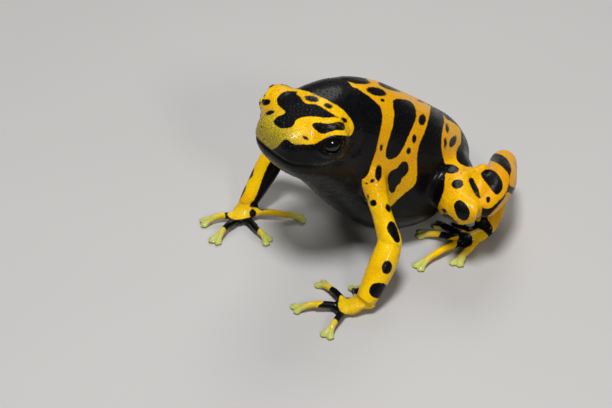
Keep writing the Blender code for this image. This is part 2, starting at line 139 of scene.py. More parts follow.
# %% Read, move and make meshes
def place_of(mesh):
    """The mesh's points as an array in millimetres."""
    flat = np.empty(len(mesh.vertices) * 3)
    mesh.vertices.foreach_get("co", flat)
    return flat.reshape(-1, 3) / MM


def move_to(mesh, points):
    """Put the mesh's points at the places of an array in millimetres."""
    mesh.vertices.foreach_set("co", (points * MM).ravel())
    mesh.update()


def object_of(bm, name):
    """An object in the scene, from a mesh built from a bmesh."""
    mesh = bpy.data.meshes.new(name)
    bm.to_mesh(mesh)
    bm.free()
    obj = bpy.data.objects.new(name, mesh)
    bpy.context.scene.collection.objects.link(obj)
    return obj


def applied(obj):
    """The object with its modifiers turned into plain mesh."""
    graph = bpy.context.evaluated_depsgraph_get()
    made = bpy.data.meshes.new_from_object(obj.evaluated_get(graph))
    obj.modifiers.clear()
    obj.data = made
    return obj


print("the head's solid has", len(place_of(nodes["head"].data)), "points")

# %% Webs of skin that the solids leave out
# Each is a ball with its middle, its half widths in millimetres and the way its first axis faces.
MIRROR = np.array((-1.0, 1.0, 1.0))
LEG_BACK = 0.75
KNEE_DROP = 1.6
RIGHT_LEG_LOWER = np.array((0, -LEG_BACK, -KNEE_DROP))
KNEE_WEB = at_side((469.5, 174), 8.8)
KNEE_WEB_WAY = np.array((-0.28, 0.91, -0.32))
ANKLE = at_height((482.5, 222.5), 1.7)
SHANK_TOP = at_side((482, 172), 9.0)
FILLS = [
    (at_height((246.5, 212.5), 0.95), (1.7, 0.85, 0.8), across),
    (at_height((368, 304), 1.3), (0.95, 0.6, 0.6), across),
    (KNEE_WEB, (1.8, 0.75, 0.75), KNEE_WEB_WAY),
    (SHANK_TOP, (1.15, 0.85, 1.0), KNEE_WEB_WAY),
    (SHANK_TOP * MIRROR + RIGHT_LEG_LOWER, (1.15, 0.85, 1.0), KNEE_WEB_WAY * MIRROR),
    (at_side((483, 187), 9.2), (0.75, 0.7, 0.8), KNEE_WEB_WAY),
    (KNEE_WEB * MIRROR + RIGHT_LEG_LOWER, (1.8, 0.75, 0.75), KNEE_WEB_WAY * MIRROR),
    (ANKLE, (0.95, 0.7, 0.9), across),
    (ANKLE * MIRROR, (0.95, 0.7, 0.9), across * MIRROR),
]
print("webs:", len(FILLS))

# %% Fuse the solids into one skin
PUFF = 0.2
VOXEL = 0.185
SAME_POINT = 1e-6
BALL_SUBDIVISIONS = 3


def placed_at(centre, facing):
    """A matrix in metres that puts a shape at a place in millimetres, its X axis facing a way."""
    turn = Vector(facing).to_track_quat("X", "Z").to_matrix().to_4x4()
    return Matrix.Translation(Vector(centre) * MM) @ turn


def fused_skin():
    """The solids of flesh and the webs, puffed up, fused by a voxel remesh and drawn in."""
    bm = bmesh.new()
    for name in flesh:
        bm.from_mesh(nodes[name].data)
    bmesh.ops.remove_doubles(bm, verts=bm.verts, dist=SAME_POINT)
    for centre, halves, facing in FILLS:
        shape = placed_at(centre, facing) @ Matrix.Diagonal([half * MM for half in halves] + [1.0])
        bmesh.ops.create_icosphere(bm, subdivisions=BALL_SUBDIVISIONS, radius=1, matrix=shape)
    obj = object_of(bm, "skin")
    for name, strength in (("puff", PUFF), ("draw_in", -PUFF)):
        if strength < 0:
            fuse = obj.modifiers.new("fuse", "REMESH")
            fuse.mode = "VOXEL"
            fuse.voxel_size = VOXEL * MM
        grow = obj.modifiers.new(name, "DISPLACE")
        grow.strength = strength * MM
        grow.mid_level = 0.0
    return applied(obj)


skin = fused_skin()
print("skin:", len(skin.data.vertices), "points")

# %% [markdown]
# ## Smoothing, as strong as each part can bear
# A broad back may be smoothed a lot, a thin finger hardly, and a joint more than the bones
# beside it, so that no step shows where two solids met. Each point of the skin takes the name
# of the solid nearest to it.

# %% Name the part of every point
def nearest_parts(points):
    """For each point, the number of the nearest flesh solid in the list of names."""
    corners, faces, owner = [], [], []
    for number, name in enumerate(flesh):
        mesh = nodes[name].data
        start = len(corners)
        corners += [v.co / MM for v in mesh.vertices]
        faces += [[start + i for i in p.vertices] for p in mesh.polygons]
        owner += [number] * len(mesh.polygons)
    search = BVHTree.FromPolygons(corners, faces)
    return np.array([owner[search.find_nearest(Vector(p))[2]] for p in points])


def edges_of(mesh):
    """The mesh's edges as an array of pairs of point numbers."""
    flat = np.empty(len(mesh.edges) * 2, dtype=np.int32)
    mesh.edges.foreach_get("vertices", flat)
    return flat.reshape(-1, 2)


edges = edges_of(skin.data)
points = place_of(skin.data)
part = nearest_parts(points)
print("points of each part:", {name: int((part == i).sum()) for i, name in enumerate(flesh)})

# %% Smooth each part, then the seams between them
SMOOTH_ROUNDS = {"torso": 30, "head": 14, "hand": 5, "foot": 5}
LIMB_ROUNDS = 20
PUSH_BACK = 0.53
SEAM_SPREAD = 12
SEAM_WIDEN = 4
SEAM_ROUNDS = 70
SEAM_PUSH_BACK = 0.52


def neighbour_mean(values, edges):
    """For each point, the mean of its neighbours' values."""
    count = len(values)
    degree = np.maximum(np.bincount(edges.ravel(), minlength=count), 1)
    columns = []
    for column in values.reshape(count, -1).T:
        total = np.bincount(edges[:, 0], column[edges[:, 1]], count)
        total += np.bincount(edges[:, 1], column[edges[:, 0]], count)
        columns.append(total / degree)
    return np.stack(columns, -1).reshape(values.shape)


def spread(values, edges, rounds):
    """A value at each point, averaged with its neighbours a few times."""
    for _ in range(rounds):
        values = 0.5 * values + 0.5 * neighbour_mean(values, edges)
    return values


def eased_once(points, share, back):
    """Points drawn to their neighbours' mean, then pushed back a bit more (Taubin's two steps)."""
    for pull in (0.5, -back):
        points = points + pull * share * (neighbour_mean(points, edges) - points)
    return points


part_rounds = np.array([SMOOTH_ROUNDS.get(name.split("_")[0], LIMB_ROUNDS) for name in flesh])[part]
for turn in range(int(part_rounds.max())):
    points = eased_once(points, (part_rounds > turn)[:, None], PUSH_BACK)
seam = np.zeros(len(points))
seam[edges[part[edges[:, 0]] != part[edges[:, 1]]]] = 1.0
seam = np.clip(spread(seam, edges, SEAM_SPREAD) * SEAM_WIDEN, 0, 1)[:, None]
for _ in range(SEAM_ROUNDS):
    points = eased_once(points, seam, SEAM_PUSH_BACK)
move_to(skin.data, points)
print("points near a seam:", int((seam > 0.5).sum()))

# %% [markdown]
# ## Finger and toe ends
# Each finger and toe of this frog ends in a broad pad with two soft plates on top. The solids
# have plain rounded ends, so here every end is spread like a fan, flattened, notched at its
# tip and given a furrow between the two plates. The flat under each pad tells where it is.

# %% Find the pads
FLAT_AREA = 2e-8
FLATS_APART = 1.0
PALM_ABOVE = 1.2
PAD_SURROUND = 2.4


def pads_of(name):
    """The middle of each flat under a hand or a foot, and the way back from it to the palm."""
    mesh = nodes[name].data
    flats = [p for p in mesh.polygons if abs(p.center[2]) < SAME_POINT and p.area > FLAT_AREA]
    found = []
    for flat in sorted(flats, key=lambda p: -p.area):
        middle = np.array(flat.center) / MM
        if all(np.linalg.norm(middle - other) > FLATS_APART for other in found):
            found.append(middle)
    corners = place_of(mesh)
    palm = corners[corners[:, 2] > PALM_ABOVE].mean(0)
    side = -1 if name.endswith("right") else 1
    away = [f - palm for f in found]
    order = np.argsort([(np.degrees(np.arctan2(a[1], side * a[0])) - 90) % 360 for a in away])
    pads = []
    for i in order:
        near = corners[np.linalg.norm(corners - found[i], axis=1) < PAD_SURROUND]
        back = (near.mean(0) - found[i]) * (1, 1, 0)
        pads.append((found[i], back / np.linalg.norm(back)))
    return pads


pads = {name: pads_of(name) for name in ("hand_left", "hand_right", "foot_left", "foot_right")}
for name, found in pads.items():
    print(name, "pads:", [tuple(round(float(v), 1) for v in pad[:2]) for pad, back in found])

# %% Shape the pads
# Lengths are in millimetres, measured from the middle of the flat, back towards the palm.
PAD_SPREAD, PAD_FLATTEN, PAD_FROM, PAD_REACH = 0.62, 0.22, -0.1, 1.35
PAD_BOX = (-1.5, 3.0, 1.0, 2.0)
NECK_PINCH, NECK_AT, NECK_LENGTH = 0.16, 1.9, 0.6
NOTCH_DEPTH, NOTCH_WIDTH, NOTCH_ENDS = 0.34, 0.24, (-0.5, 0.25)
FURROW_DEPTH, FURROW_WIDTH, FURROW_ENDS, FURROW_ABOVE = 0.16, 0.17, (0.5, 0.95), (0.2, 0.5)


def of_parts(*names):
    """True for the points of these parts."""
    return np.isin(part, [flesh.index(name) for name in names])


def eased(value, low, high):
    """0 below low, 1 above high, and a smooth climb between."""
    share = np.clip((value - low) / (high - low), 0, 1)
    return share * share * (3 - 2 * share)


def pad_shape(points, pad, back):
    """Points near a pad, fanned out, flattened, notched and furrowed."""
    side = np.array((-back[1], back[0], 0.0))
    away = points - pad
    along, aside = away @ back, away @ side
    first, last, half, top = PAD_BOX
    here = (along < last) & (np.abs(aside) < half) & (along > first) & (points[:, 2] < top)
    fan = 1 - eased(along, PAD_FROM, PAD_REACH)
    wider = 1 + PAD_SPREAD * fan - NECK_PINCH * np.exp(-((along - NECK_AT) / NECK_LENGTH)**2)
    push = aside * (wider - 1)
    pull = NOTCH_DEPTH * np.exp(-(aside * wider / NOTCH_WIDTH)**2) * (1 - eased(along, *NOTCH_ENDS))
    moved = points + push[:, None] * side + pull[:, None] * back
    height = points[:, 2] * (1 - PAD_FLATTEN * fan)
    furrow = FURROW_DEPTH * np.exp(-(aside * wider / FURROW_WIDTH)**2) * (1 - eased(along, *FURROW_ENDS))
    moved[:, 2] = height - furrow * eased(height, *FURROW_ABOVE)
    return np.where(here[:, None], moved, points)


for name, found in pads.items():
    mine = of_parts(name)
    for pad, back in found:
        points[mine] = pad_shape(points[mine], pad, back)
print("pads shaped:", sum(len(found) for found in pads.values()))

# %% [markdown]
# ## Eyelids
# The solid's eye opening is wider than the real one, and the real upper lid hangs over the eye.
# The skin round each eye is a thin shell about the eye's middle, so it can be drawn together
# and slid over the eyeball by turning each point about that middle.

# %% The turned head and its mirror image
HEAD_TURN = (7.0, 4.0)
HEAD_PIVOT_FROM_EYE = np.array((-5.112, 4.843, -3.75))
EYE_LOOK = np.array((0.90, -0.34, 0.20))
EYE_LOOK = EYE_LOOK / np.linalg.norm(EYE_LOOK)
turn = Matrix.Rotation(radians(HEAD_TURN[0]), 3, "Z") @ Matrix.Rotation(radians(HEAD_TURN[1]), 3, "Y")
TURN = np.array(turn)
pivot = middle_of("eye_left") + HEAD_PIVOT_FROM_EYE


def twin_of(places):
    """The mirror image of places on the head, which is turned a little."""
    return pivot + ((places - pivot) @ TURN * MIRROR) @ TURN.T


def twin_way(ways):
    """The mirror image of directions on the head."""
    return (ways @ TURN * MIRROR) @ TURN.T


# The lids slide up, and a little to the left as the camera sees it.
look_left = TURN @ EYE_LOOK
slide_left = -0.5 * across + 0.85 * upward
eyes = {
    "left": (middle_of("eye_left"), look_left, slide_left),
    "right": (middle_of("eye_right"), twin_way(look_left), twin_way(slide_left)),
}
print("the left eye looks along", [round(float(v), 2) for v in look_left])

# %% Draw the lids together and slide them
LID_SLIDE = radians(17)
LID_CLOSE = 0.33
LID_SHELL = (2.5, 3.3)
CLOSE_ANGLES = (radians(40), radians(95))
SLIDE_ANGLES = (radians(45), radians(95))


def with_lids(points, centre, look, slide):
    """Points of the lids drawn towards the way the eye looks, and slid another way."""
    away = points - centre
    reach = np.linalg.norm(away, axis=1)
    ways = away / reach[:, None]
    angle = np.arccos(np.clip(ways @ look, -1, 1))
    aside = ways - (ways @ look)[:, None] * look
    aside /= np.maximum(np.linalg.norm(aside, axis=1), 1e-9)[:, None]
    shell = 1 - eased(reach, *LID_SHELL)
    angle = angle * (1 - LID_CLOSE * shell * (1 - eased(angle, *CLOSE_ANGLES)))
    ways = np.cos(angle)[:, None] * look + np.sin(angle)[:, None] * aside
    axis = np.cross(look, slide)
    axis /= np.linalg.norm(axis)
    spin = LID_SLIDE * shell * (1 - eased(angle, *SLIDE_ANGLES))
    ways = (ways * np.cos(spin)[:, None] + np.cross(axis, ways) * np.sin(spin)[:, None]
            + axis * (ways @ axis * (1 - np.cos(spin)))[:, None])
    return np.where((reach < LID_SHELL[1])[:, None], centre + ways * reach[:, None], points)


mine = of_parts("head")
before = points[mine]
for centre, look, slide in eyes.values():
    points[mine] = with_lids(points[mine], centre, look, slide)
move_to(skin.data, points)
moved = np.linalg.norm(points[mine] - before, axis=1)
print("the lids moved by up to", round(float(moved.max()), 2), "mm")

# %% [markdown]
# ## Folds, nostrils, mouth and ears
# Small forms are pressed into the skin along its normals. A line is given in the picture's
# pixels, laid on the skin from the camera, and mirrored for the other side where there is one.
# Each form fades out like a bell curve, so it has soft shoulders.

# %% Lay a line on the skin
LINE_STEP = 2.0


def search_of(points, mesh):
    """A search tree of a mesh in millimetres."""
    return BVHTree.FromPolygons([Vector(p) for p in points], [list(p.vertices) for p in mesh.polygons])


def normals_of(mesh):
    """The mesh's normals as an array."""
    flat = np.empty(len(mesh.vertices) * 3)
    mesh.vertices.foreach_get("normal", flat)
    return flat.reshape(-1, 3)


def on_skin(search, pixels):
    """A line of pixels laid on the skin as close-set places."""
    line = np.array(pixels, float)
    rows = []
    for start, end in zip(line, line[1:]):
        count = max(1, int(np.linalg.norm(end - start) / LINE_STEP))
        rows += [start + (end - start) * k / count for k in range(count)]
    rows.append(line[-1])
    hits = [search.ray_cast(Vector(eye_point), Vector(ray_through(r)).normalized())[0] for r in rows]
    return np.array([hit for hit in hits if hit is not None])


def from_line(places, line):
    """The distance from each place to a line of points."""
    nearest = np.full(len(places), 1e9)
    for start, end in zip(line, line[1:]):
        along = end - start
        share = np.clip((places - start) @ along / max(along @ along, 1e-9), 0, 1)
        nearest = np.minimum(nearest, ((places - start - share[:, None] * along)**2).sum(-1))
    return np.sqrt(nearest)


def pressed(places, ways, line, rise, width):
    """How far to move each place: up the normal by rise on the line, nothing far from it."""
    return ways * (rise * np.exp(-(from_line(places, line) / width)**2))[:, None]


print("the search tree covers", len(skin.data.polygons), "faces")

# %% Ease the creases at the knees and the thighs
# Each has its line, its reach in millimetres, its rounds, and how much lower the right one is.
CREASES = [
    ([(483.5, 180), (484, 190), (487, 203)], 1.1, 80, RIGHT_LEG_LOWER),
    ([(474, 172), (473.5, 184), (478, 196), (482, 206)], 0.8, 30, RIGHT_LEG_LOWER),
    ([(448, 160), (441, 170), (437, 182), (434, 194)], 1.1, 60, (0, 0, -0.4)),
]


def eased_along(places, line, reach, rounds):
    """The places with the skin near a line eased, which fills a crease and rounds a ridge."""
    pull = np.exp(-(from_line(places, line) / reach)**2)
    near = np.nonzero(pull > 0.01)[0]
    number = np.full(len(places), -1)
    number[near] = np.arange(len(near))
    nearby = number[edges]
    nearby = nearby[(nearby >= 0).all(1)]
    some = places[near]
    for _ in range(rounds):
        some = some + 0.5 * pull[near, None] * (neighbour_mean(some, nearby) - some)
    places = places.copy()
    places[near] = some
    return places


search = search_of(points, skin.data)
for pixels, reach, rounds, lower in CREASES:
    line = on_skin(search, pixels)
    points = eased_along(points, line, reach, rounds)
    points = eased_along(points, line * MIRROR + lower, reach, rounds)
move_to(skin.data, points)
print("creases eased:", 2 * len(CREASES))

# %% Press the folds
# Each has its line, how far it rises and its width, in millimetres. The head's lines have twins.
FOLDS = [
    ([(381.7, 242.5), (386, 243.5), (393, 245.5), (399, 247.5)], -0.16, 0.22),
    ([(403.5, 245.5), (400.5, 249.5), (397, 250)], -0.14, 0.3),
    ([(355, 296.5), (360, 303.3), (368, 305.5), (376, 304)], -0.14, 0.22),
    ([(240, 203.5), (245, 205), (252, 204)], -0.12, 0.2),
    ([(347.3, 121), (349.8, 126), (350.8, 131), (350, 136)], -0.1, 0.16),
    ([(321, 141.5), (328, 137.3), (334, 136.2), (341, 137)], 0.1, 0.2),
    ([(318.5, 150.5), (321, 153.3), (325, 155.2), (329, 155), (334, 152.5)], 0.1, 0.17),
    ([(316, 156), (322, 159), (330, 159)], -0.08, 0.2),
    ([(471, 178), (473, 185), (476.5, 193), (481, 201)], -0.2, 0.34),
    ([(461, 166.5), (468, 168.5), (475, 168)], -0.06, 0.5),
    ([(367, 181.5), (374, 183.5), (381, 189), (384, 195)], -0.08, 0.3),
]
TWINNED = (4, 5, 6, 7)
search = search_of(points, skin.data)
ways = normals_of(skin.data)
moves = np.zeros_like(points)
for number, (pixels, rise, width) in enumerate(FOLDS):
    line = on_skin(search, pixels)
    moves += pressed(points, ways, line, rise, width)
    if number in TWINNED:
        moves += pressed(points, ways, twin_of(line), rise, width)
print("folds:", len(FOLDS) + len(TWINNED))

# %% The mouth
MOUTH_MIDDLE = np.array((0.0, -5.5, 1.3))
MOUTH_TILT = radians(14)
MOUTH_REACH = radians(104)
MOUTH_STEPS = 61
MOUTH_DEPTH, MOUTH_WIDTH = 0.2, 0.16
LIP_RISE, LIP_WIDTH = 0.06, 0.25
LIP_ABOVE = np.array((0, 0, 0.42))
middle = pivot + TURN @ MOUTH_MIDDLE
mouth = []
for angle in np.linspace(-MOUTH_REACH, MOUTH_REACH, MOUTH_STEPS):
    way = np.array((sin(angle), -cos(MOUTH_TILT) * cos(angle), sin(MOUTH_TILT) * cos(angle)))
    mouth.append(search.ray_cast(Vector(middle), Vector(TURN @ way))[0])
mouth = np.array([place for place in mouth if place is not None])
moves += pressed(points, ways, mouth, -MOUTH_DEPTH, MOUTH_WIDTH)
moves += pressed(points, ways, mouth + TURN @ LIP_ABOVE, LIP_RISE, LIP_WIDTH)
print("the mouth's line has", len(mouth), "places")

# %% The nostrils and the eardrums
NOSTRIL = np.array((2.0, -9.9, 4.3))
NOSTRIL_DEPTH, NOSTRIL_HALF = 0.3, 0.2
RIM_RISE, RIM_AT, RIM_WIDTH = 0.09, 0.34, 0.14
EARDRUM = np.array((5.3, -2.2, 1.9))
DRUM_DEPTH, DRUM_HALF = 0.08, 0.7
RING_DEPTH, RING_AT, RING_WIDTH = 0.1, 0.78, 0.14
for side in (1, -1):
    mirror = np.array((side, 1, 1))
    nostril, drum = (np.array(search.find_nearest(Vector(pivot + TURN @ (place * mirror)))[0])
                     for place in (NOSTRIL, EARDRUM))
    away = np.linalg.norm(points - nostril, axis=1)
    rim = RIM_RISE * np.exp(-((away - RIM_AT) / RIM_WIDTH)**2)
    moves += ways * (-NOSTRIL_DEPTH * np.exp(-(away / NOSTRIL_HALF)**2) + rim)[:, None]
    away = np.linalg.norm(points - drum, axis=1)
    ring = RING_DEPTH * np.exp(-((away - RING_AT) / RING_WIDTH)**2)
    moves += ways * (-DRUM_DEPTH * (away < DRUM_HALF) - ring)[:, None]
points = points + moves
move_to(skin.data, points)
print("the skin moved by up to", round(float(np.linalg.norm(moves, axis=1).max()), 2), "mm")

# %% [markdown]
# ## The markings
# Each marking is an outline or an ellipse, read from the picture and given in its
# pixels. A point of the skin that faces the camera looks up its own pixel. A point on the far
# side looks up the pixel of its mirror image, because the frog's two sides are nearly alike.
# The result is one number for each point: millimetres inside the yellow, negative in black.
# The names say where an outline lies and what colour it bounds.

# %% Outlines on the head
HEAD_GOLD = [
    (259.5, 98), (266.4, 90.3), (274.8, 84.9), (281.7, 84.6), (290.9, 87.2), (300.1, 89.5), (306.2, 91.1),
    (313.9, 93.8), (321.5, 97.2), (330.7, 101.8), (340.7, 107.9), (348.3, 115.6), (352.1, 120.9),
    (354.1, 127.8), (352.1, 133.2), (349.8, 136.2), (344.5, 135.5), (336.8, 135.1), (329.2, 136.2),
    (321.5, 140.1), (316.2, 143.5), (310.1, 144.4), (301.6, 144.3), (294, 144.3), (289.4, 141),
    (285.6, 139.4), (282.5, 141.2), (279.1, 145.4), (274.8, 148.5), (270.3, 150.4), (264.1, 151.5),
    (259.5, 146.2), (254, 138.5), (251, 130.1), (252, 122), (254, 114), (256, 106),
]
CROWN_BLACK = [
    (293.5, 91.2), (287.9, 90.8), (282.5, 92.8), (278.1, 96.4), (276.8, 100.6), (278.7, 105.6),
    (282.5, 108.7), (285.6, 112.1), (283.3, 114.4), (278.7, 115.9), (274.8, 119.4), (273.7, 122.4),
    (275.6, 125.1), (279.4, 127.8), (284.8, 128.3), (290.9, 127.4), (294, 124.7), (295.5, 120.9),
    (297.4, 118.9), (303.2, 117.1), (310.1, 116.3), (317.7, 116.9), (325.4, 117.9), (333, 117.3),
    (339.1, 118.3), (335.3, 115.6), (329.2, 112.1), (321.5, 107.1), (316.2, 104.5), (310.1, 104.1),
    (305.5, 103.3), (302.4, 100.3), (299.3, 96.4), (296.3, 93.8), (297.8, 91.5), (297.8, 92),
]
BROW_BLACK = [
    (312.2, 124), (315.4, 122.6), (321.5, 122.6), (327.7, 123.7), (333, 122.8), (337.6, 121.8),
    (342.2, 122.6), (344.9, 125.5), (345.1, 128.6), (343, 130.3), (336.1, 130.3), (330.7, 131.6),
    (325.4, 133.5), (320.8, 133.5), (316.9, 131.2), (313.5, 127.8),
]
print("points of each:", [len(o) for o in (HEAD_GOLD, CROWN_BLACK, BROW_BLACK)])

# %% Outlines on the trunk
MIDDLE_GOLD = [
    (340, 81.6), (347.3, 81.5), (357, 83.3), (366.1, 83.1), (368.1, 81.5), (363.6, 73.6), (380.6, 73.6),
    (378.2, 82.7), (382.4, 86.7), (388.5, 89.4), (398.2, 91.8), (409.1, 94), (420, 96.2), (426.6, 99.1),
    (430.3, 105.1), (429.9, 112.4), (427.9, 122.1), (424.8, 131.8), (420, 142.7), (417.6, 152.4),
    (416.9, 162.1), (417.2, 173), (415.7, 182.7), (411.5, 188.1), (403, 194.8), (395.7, 201.5),
    (389.4, 207.2), (386.7, 201.5), (384.2, 193.6), (379.4, 186.1), (375.1, 186.3), (363, 183.3),
    (362.8, 179.7), (367.6, 174.8), (371.3, 164.5), (375.4, 152.4), (378.8, 137.9), (381.6, 124.5),
    (382.4, 116), (380.4, 107.6), (375.1, 101.3), (367.9, 95.7), (360, 90.4), (357, 88.2), (350.9, 87.6),
    (344.8, 85.8),
]
LONG_BLACK = [
    (393.3, 100.9), (397, 98.8), (405.4, 99.7), (411.5, 102.1), (415.1, 107.6), (416.1, 114.8),
    (414.5, 122.1), (410.3, 131.8), (406, 141.5), (401.8, 150), (398.2, 155.4), (392.1, 159.1),
    (388.5, 159.4), (385.8, 156.6), (386, 151.2), (387.9, 142.7), (390.9, 133), (393.3, 123.3),
    (394.2, 113.6), (393.1, 106.4),
]
LOW_BLACK = [
    (407.9, 163.9), (408.5, 170.6), (405.4, 175.4), (401.8, 177.8), (400.6, 182.7), (396.3, 186.3),
    (394.5, 192.4), (391.5, 193), (388.5, 189.4), (388.5, 185.1), (387.6, 179.7), (388.5, 174.2),
    (391.5, 170.6), (397, 168.2), (400.6, 163.3), (404.8, 161.1),
]
print("points of each:", [len(o) for o in (MIDDLE_GOLD, LONG_BLACK, LOW_BLACK)])

# %% Outlines on the hind leg
# Along the crease between the thigh and the shank, the hip's yellow outline stops short of the shank's. The
# black left between them is partly black skin and partly painted shade of that crease.
HIP_GOLD = [
    (443.2, 114.8), (446.6, 119.1), (451.5, 121.6), (456.5, 125), (460.3, 129), (461.2, 136), (461, 143),
    (458.8, 146.3), (456.7, 151.2), (456.3, 157.2), (458.1, 162.1), (462.4, 164.9), (468.4, 166.9),
    (473.9, 166.7), (473.9, 176.6), (468.4, 179.7), (470.9, 186.3), (475.7, 194.8), (480.6, 200.3),
    (482, 205.7), (481.5, 214.2), (479.3, 222.9), (473.3, 228.7), (466, 229.3), (461.2, 226.5),
    (455.1, 220.3), (449.1, 215.4), (443, 214.2), (435.7, 217.2), (435.7, 213), (437.9, 206.3),
    (441.2, 198.4), (443.6, 191.2), (444.5, 183.9), (445.2, 175.4), (445.4, 170.6), (446.6, 166.9),
    (444.8, 163.9), (443, 157.2), (441.5, 148.8), (441.4, 139.1), (442.4, 130.6), (444, 120.9),
]
HIP_BLACK = [
    (443, 165.7), (448.5, 164.3), (453.9, 164.8), (458.8, 168.4), (458.5, 171.5), (452.7, 173.4),
    (447.8, 173.2), (443, 172.4),
]
KNEE_BLACK = [
    (459.4, 199.9), (463.6, 202.1), (468.4, 208.1), (469.9, 214.2), (467.2, 219.6), (462.4, 220.5),
    (457.5, 216.6), (454.5, 209.3), (454.5, 203.3),
]
SHANK_GOLD = [
    (474.5, 166.9), (480.6, 162.7), (489, 160.6), (497.5, 163.3), (504.2, 168.8), (509, 175.2),
    (508.7, 182.7), (506.6, 191.2), (501.2, 198.4), (493.9, 205.7), (489, 208.5), (483.6, 208.1),
    (482, 200.9), (478.1, 191.2), (474.5, 182.7), (473.3, 175.4),
]
SHANK_BLACK = [
    (481.2, 173), (485.4, 169.6), (492.7, 170), (498.7, 175.4), (502.4, 182.7), (501.8, 190),
    (497.5, 194.6), (493.3, 192.4), (489, 186.3), (484.2, 180.3), (481.5, 176.6),
]
HEEL_GOLD = [
    (485.4, 154.8), (487.8, 151.2), (492.7, 147.6), (499.9, 145.7), (510.9, 146), (521, 151), (526, 163.3),
    (526, 175.4), (524, 186.3), (515.7, 187.8), (509.6, 185.1), (510.2, 176.6), (511.2, 169.4),
    (509.6, 163.3), (505.4, 157.5), (498.7, 153.9), (491.5, 154.2),
]
TARSUS_GOLD = [
    (507.8, 192.4), (514.5, 198.4), (515.1, 206.9), (510, 213.8), (507.2, 221.5), (503.2, 229.3),
    (492.9, 233.8), (492.4, 226.3), (487.2, 218.4), (490.3, 214.2), (497.5, 206.9), (503.6, 199),
]
print("points of each:", [
    len(o) for o in (HIP_GOLD, HIP_BLACK, KNEE_BLACK, SHANK_GOLD, SHANK_BLACK, HEEL_GOLD, TARSUS_GOLD)
])

# %% Outlines on the foot and the toes
FOOT_GOLD = [
    (460.4, 229.2), (470, 231.7), (480, 228.3), (488.8, 237.5), (483, 243.7), (475.8, 246.7),
    (471.7, 246.7), (472.5, 241.7), (471.7, 235.8), (468.3, 233.3), (462.5, 231.7),
]
TOE_THREE_GOLD = [(414, 224), (440, 226.5), (441, 232), (437, 237.5), (428, 241), (414, 241)]
TOE_FOUR_GOLD = [
    (459, 235.5), (457, 241), (455, 248.5), (437, 258), (428, 272), (410, 274), (408, 259), (428, 248),
    (443, 241),
]
TOE_FIVE_GOLD = [
    (477, 245), (471, 245.5), (462, 250), (450, 256), (446, 268), (460, 271), (472, 260), (479, 250),
]
print("points of each:", [len(o) for o in (FOOT_GOLD, TOE_THREE_GOLD, TOE_FOUR_GOLD, TOE_FIVE_GOLD)])

# %% Outlines on the arms
TEARDROP_BLACK = [
    (391.5, 220.9), (394.5, 223.3), (397.6, 229.9), (400, 238.4), (399.4, 242.1), (396.3, 242.7),
    (392.1, 237.8), (387.9, 231.2), (387, 226.3), (389.1, 222.1),
]
ARM_TOP_GOLD = [
    (361.5, 181), (363, 190), (366, 203), (371.7, 225), (398.3, 225), (391, 210), (386.5, 203),
    (384.5, 195), (380, 188), (374, 182.5), (366, 178),
]
WRIST_BLACK = [
    (369.2, 289.2), (372.1, 284.6), (377.5, 282.7), (384.2, 283.5), (387.9, 286.3), (394, 288.3),
    (388, 300), (380.8, 298), (375.8, 298.3), (371.3, 295.8), (369.3, 292.5),
]
LEFT_PALM_GOLD = [
    (341, 294.7), (348.3, 299.2), (354.2, 294), (374, 302), (375.3, 306.7), (370.8, 310.8), (364.2, 315),
    (355.8, 316.7), (347.5, 315), (340.8, 311.7), (338.3, 306.7), (338.6, 300.8),
]
RIGHT_ARM_GOLD = [
    (255, 160), (253, 175), (247, 181.4), (245, 190.5), (238, 202), (229, 211.4), (228, 216),
    (233.6, 219.6), (240.9, 219.5), (248.2, 217.7), (261.8, 215.9), (262.7, 212.3), (259.1, 208.6),
    (253.6, 206.8), (248.2, 206.4), (253.6, 200.5), (257.3, 193.2), (260, 185.9), (262.7, 177.7),
    (267.3, 166.8), (272, 157), (262, 152),
]
print("points of each:", [
    len(o) for o in (TEARDROP_BLACK, ARM_TOP_GOLD, WRIST_BLACK, LEFT_PALM_GOLD, RIGHT_ARM_GOLD)
])

# %% Small spots: middle, half width, half height and tilt in degrees, clockwise
HEAD_SPOTS = [
    (311.6, 98.7, 7.7, 2.8, 12), (328.4, 105.8, 4.6, 2.3, 20), (344.5, 120, 4, 1.8, 32),
    (266.4, 102.3, 4.6, 2.9, -25), (270.3, 112.5, 4.6, 2.1, -18), (305.5, 137.9, 3.8, 1.8, 30),
]
MIDDLE_SPOTS = [
    (422.2, 119.7, 3.6, 5.6, 8), (414.2, 139.1, 2.3, 4.6, 5), (408.7, 150.9, 2.3, 3.6, 5),
    (381.4, 147.6, 1.6, 4, 8), (382.7, 100.3, 2.4, 1.7, 10), (376.4, 91.6, 10.3, 3.9, 14),
    (360.6, 81.8, 9.5, 2.4, 3), (421.2, 101.3, 4.4, 1, 14), (378.4, 173, 3.3, 8.7, 4),
]
# The long spot at (474.7, 187.5) lies in the crease between the thigh and the shank. It is partly black skin
# and partly painted shade of that crease.
HIP_SPOTS_AND_CREASE_SHADE = [
    (447.2, 128.2, 1.6, 4.6, -8), (445.3, 142.7, 1.5, 5.5, 0), (452.9, 141.5, 3, 6.3, 25),
    (457.3, 184.1, 6.1, 4.6, -15), (444.2, 210.3, 3.4, 1.7, 25), (474.7, 187.5, 2.7, 9.7, -25),
    (488.1, 199.4, 2.2, 3.4, 0),
]
LEFT_ARM_SPOTS = [
    (367.9, 196.6, 1, 3.4, 0), (373.3, 203, 3.4, 3.4, 0), (388.2, 208.1, 2.4, 4.4, -20),
    (372.1, 180.9, 2.4, 1.9, 0), (366.7, 183.5, 2.2, 1.2, 0), (386.9, 267.3, 5.2, 6.8, 10),
]
RIGHT_ARM_SPOTS = [(252.7, 213.2, 3.6, 4, 0)]
print("spots of each:", [
    len(o) for o in (HEAD_SPOTS, MIDDLE_SPOTS, HIP_SPOTS_AND_CREASE_SHADE, LEFT_ARM_SPOTS, RIGHT_ARM_SPOTS)
])

# %% How far inside an outline or an ellipse
SPLINE_STEPS = 4


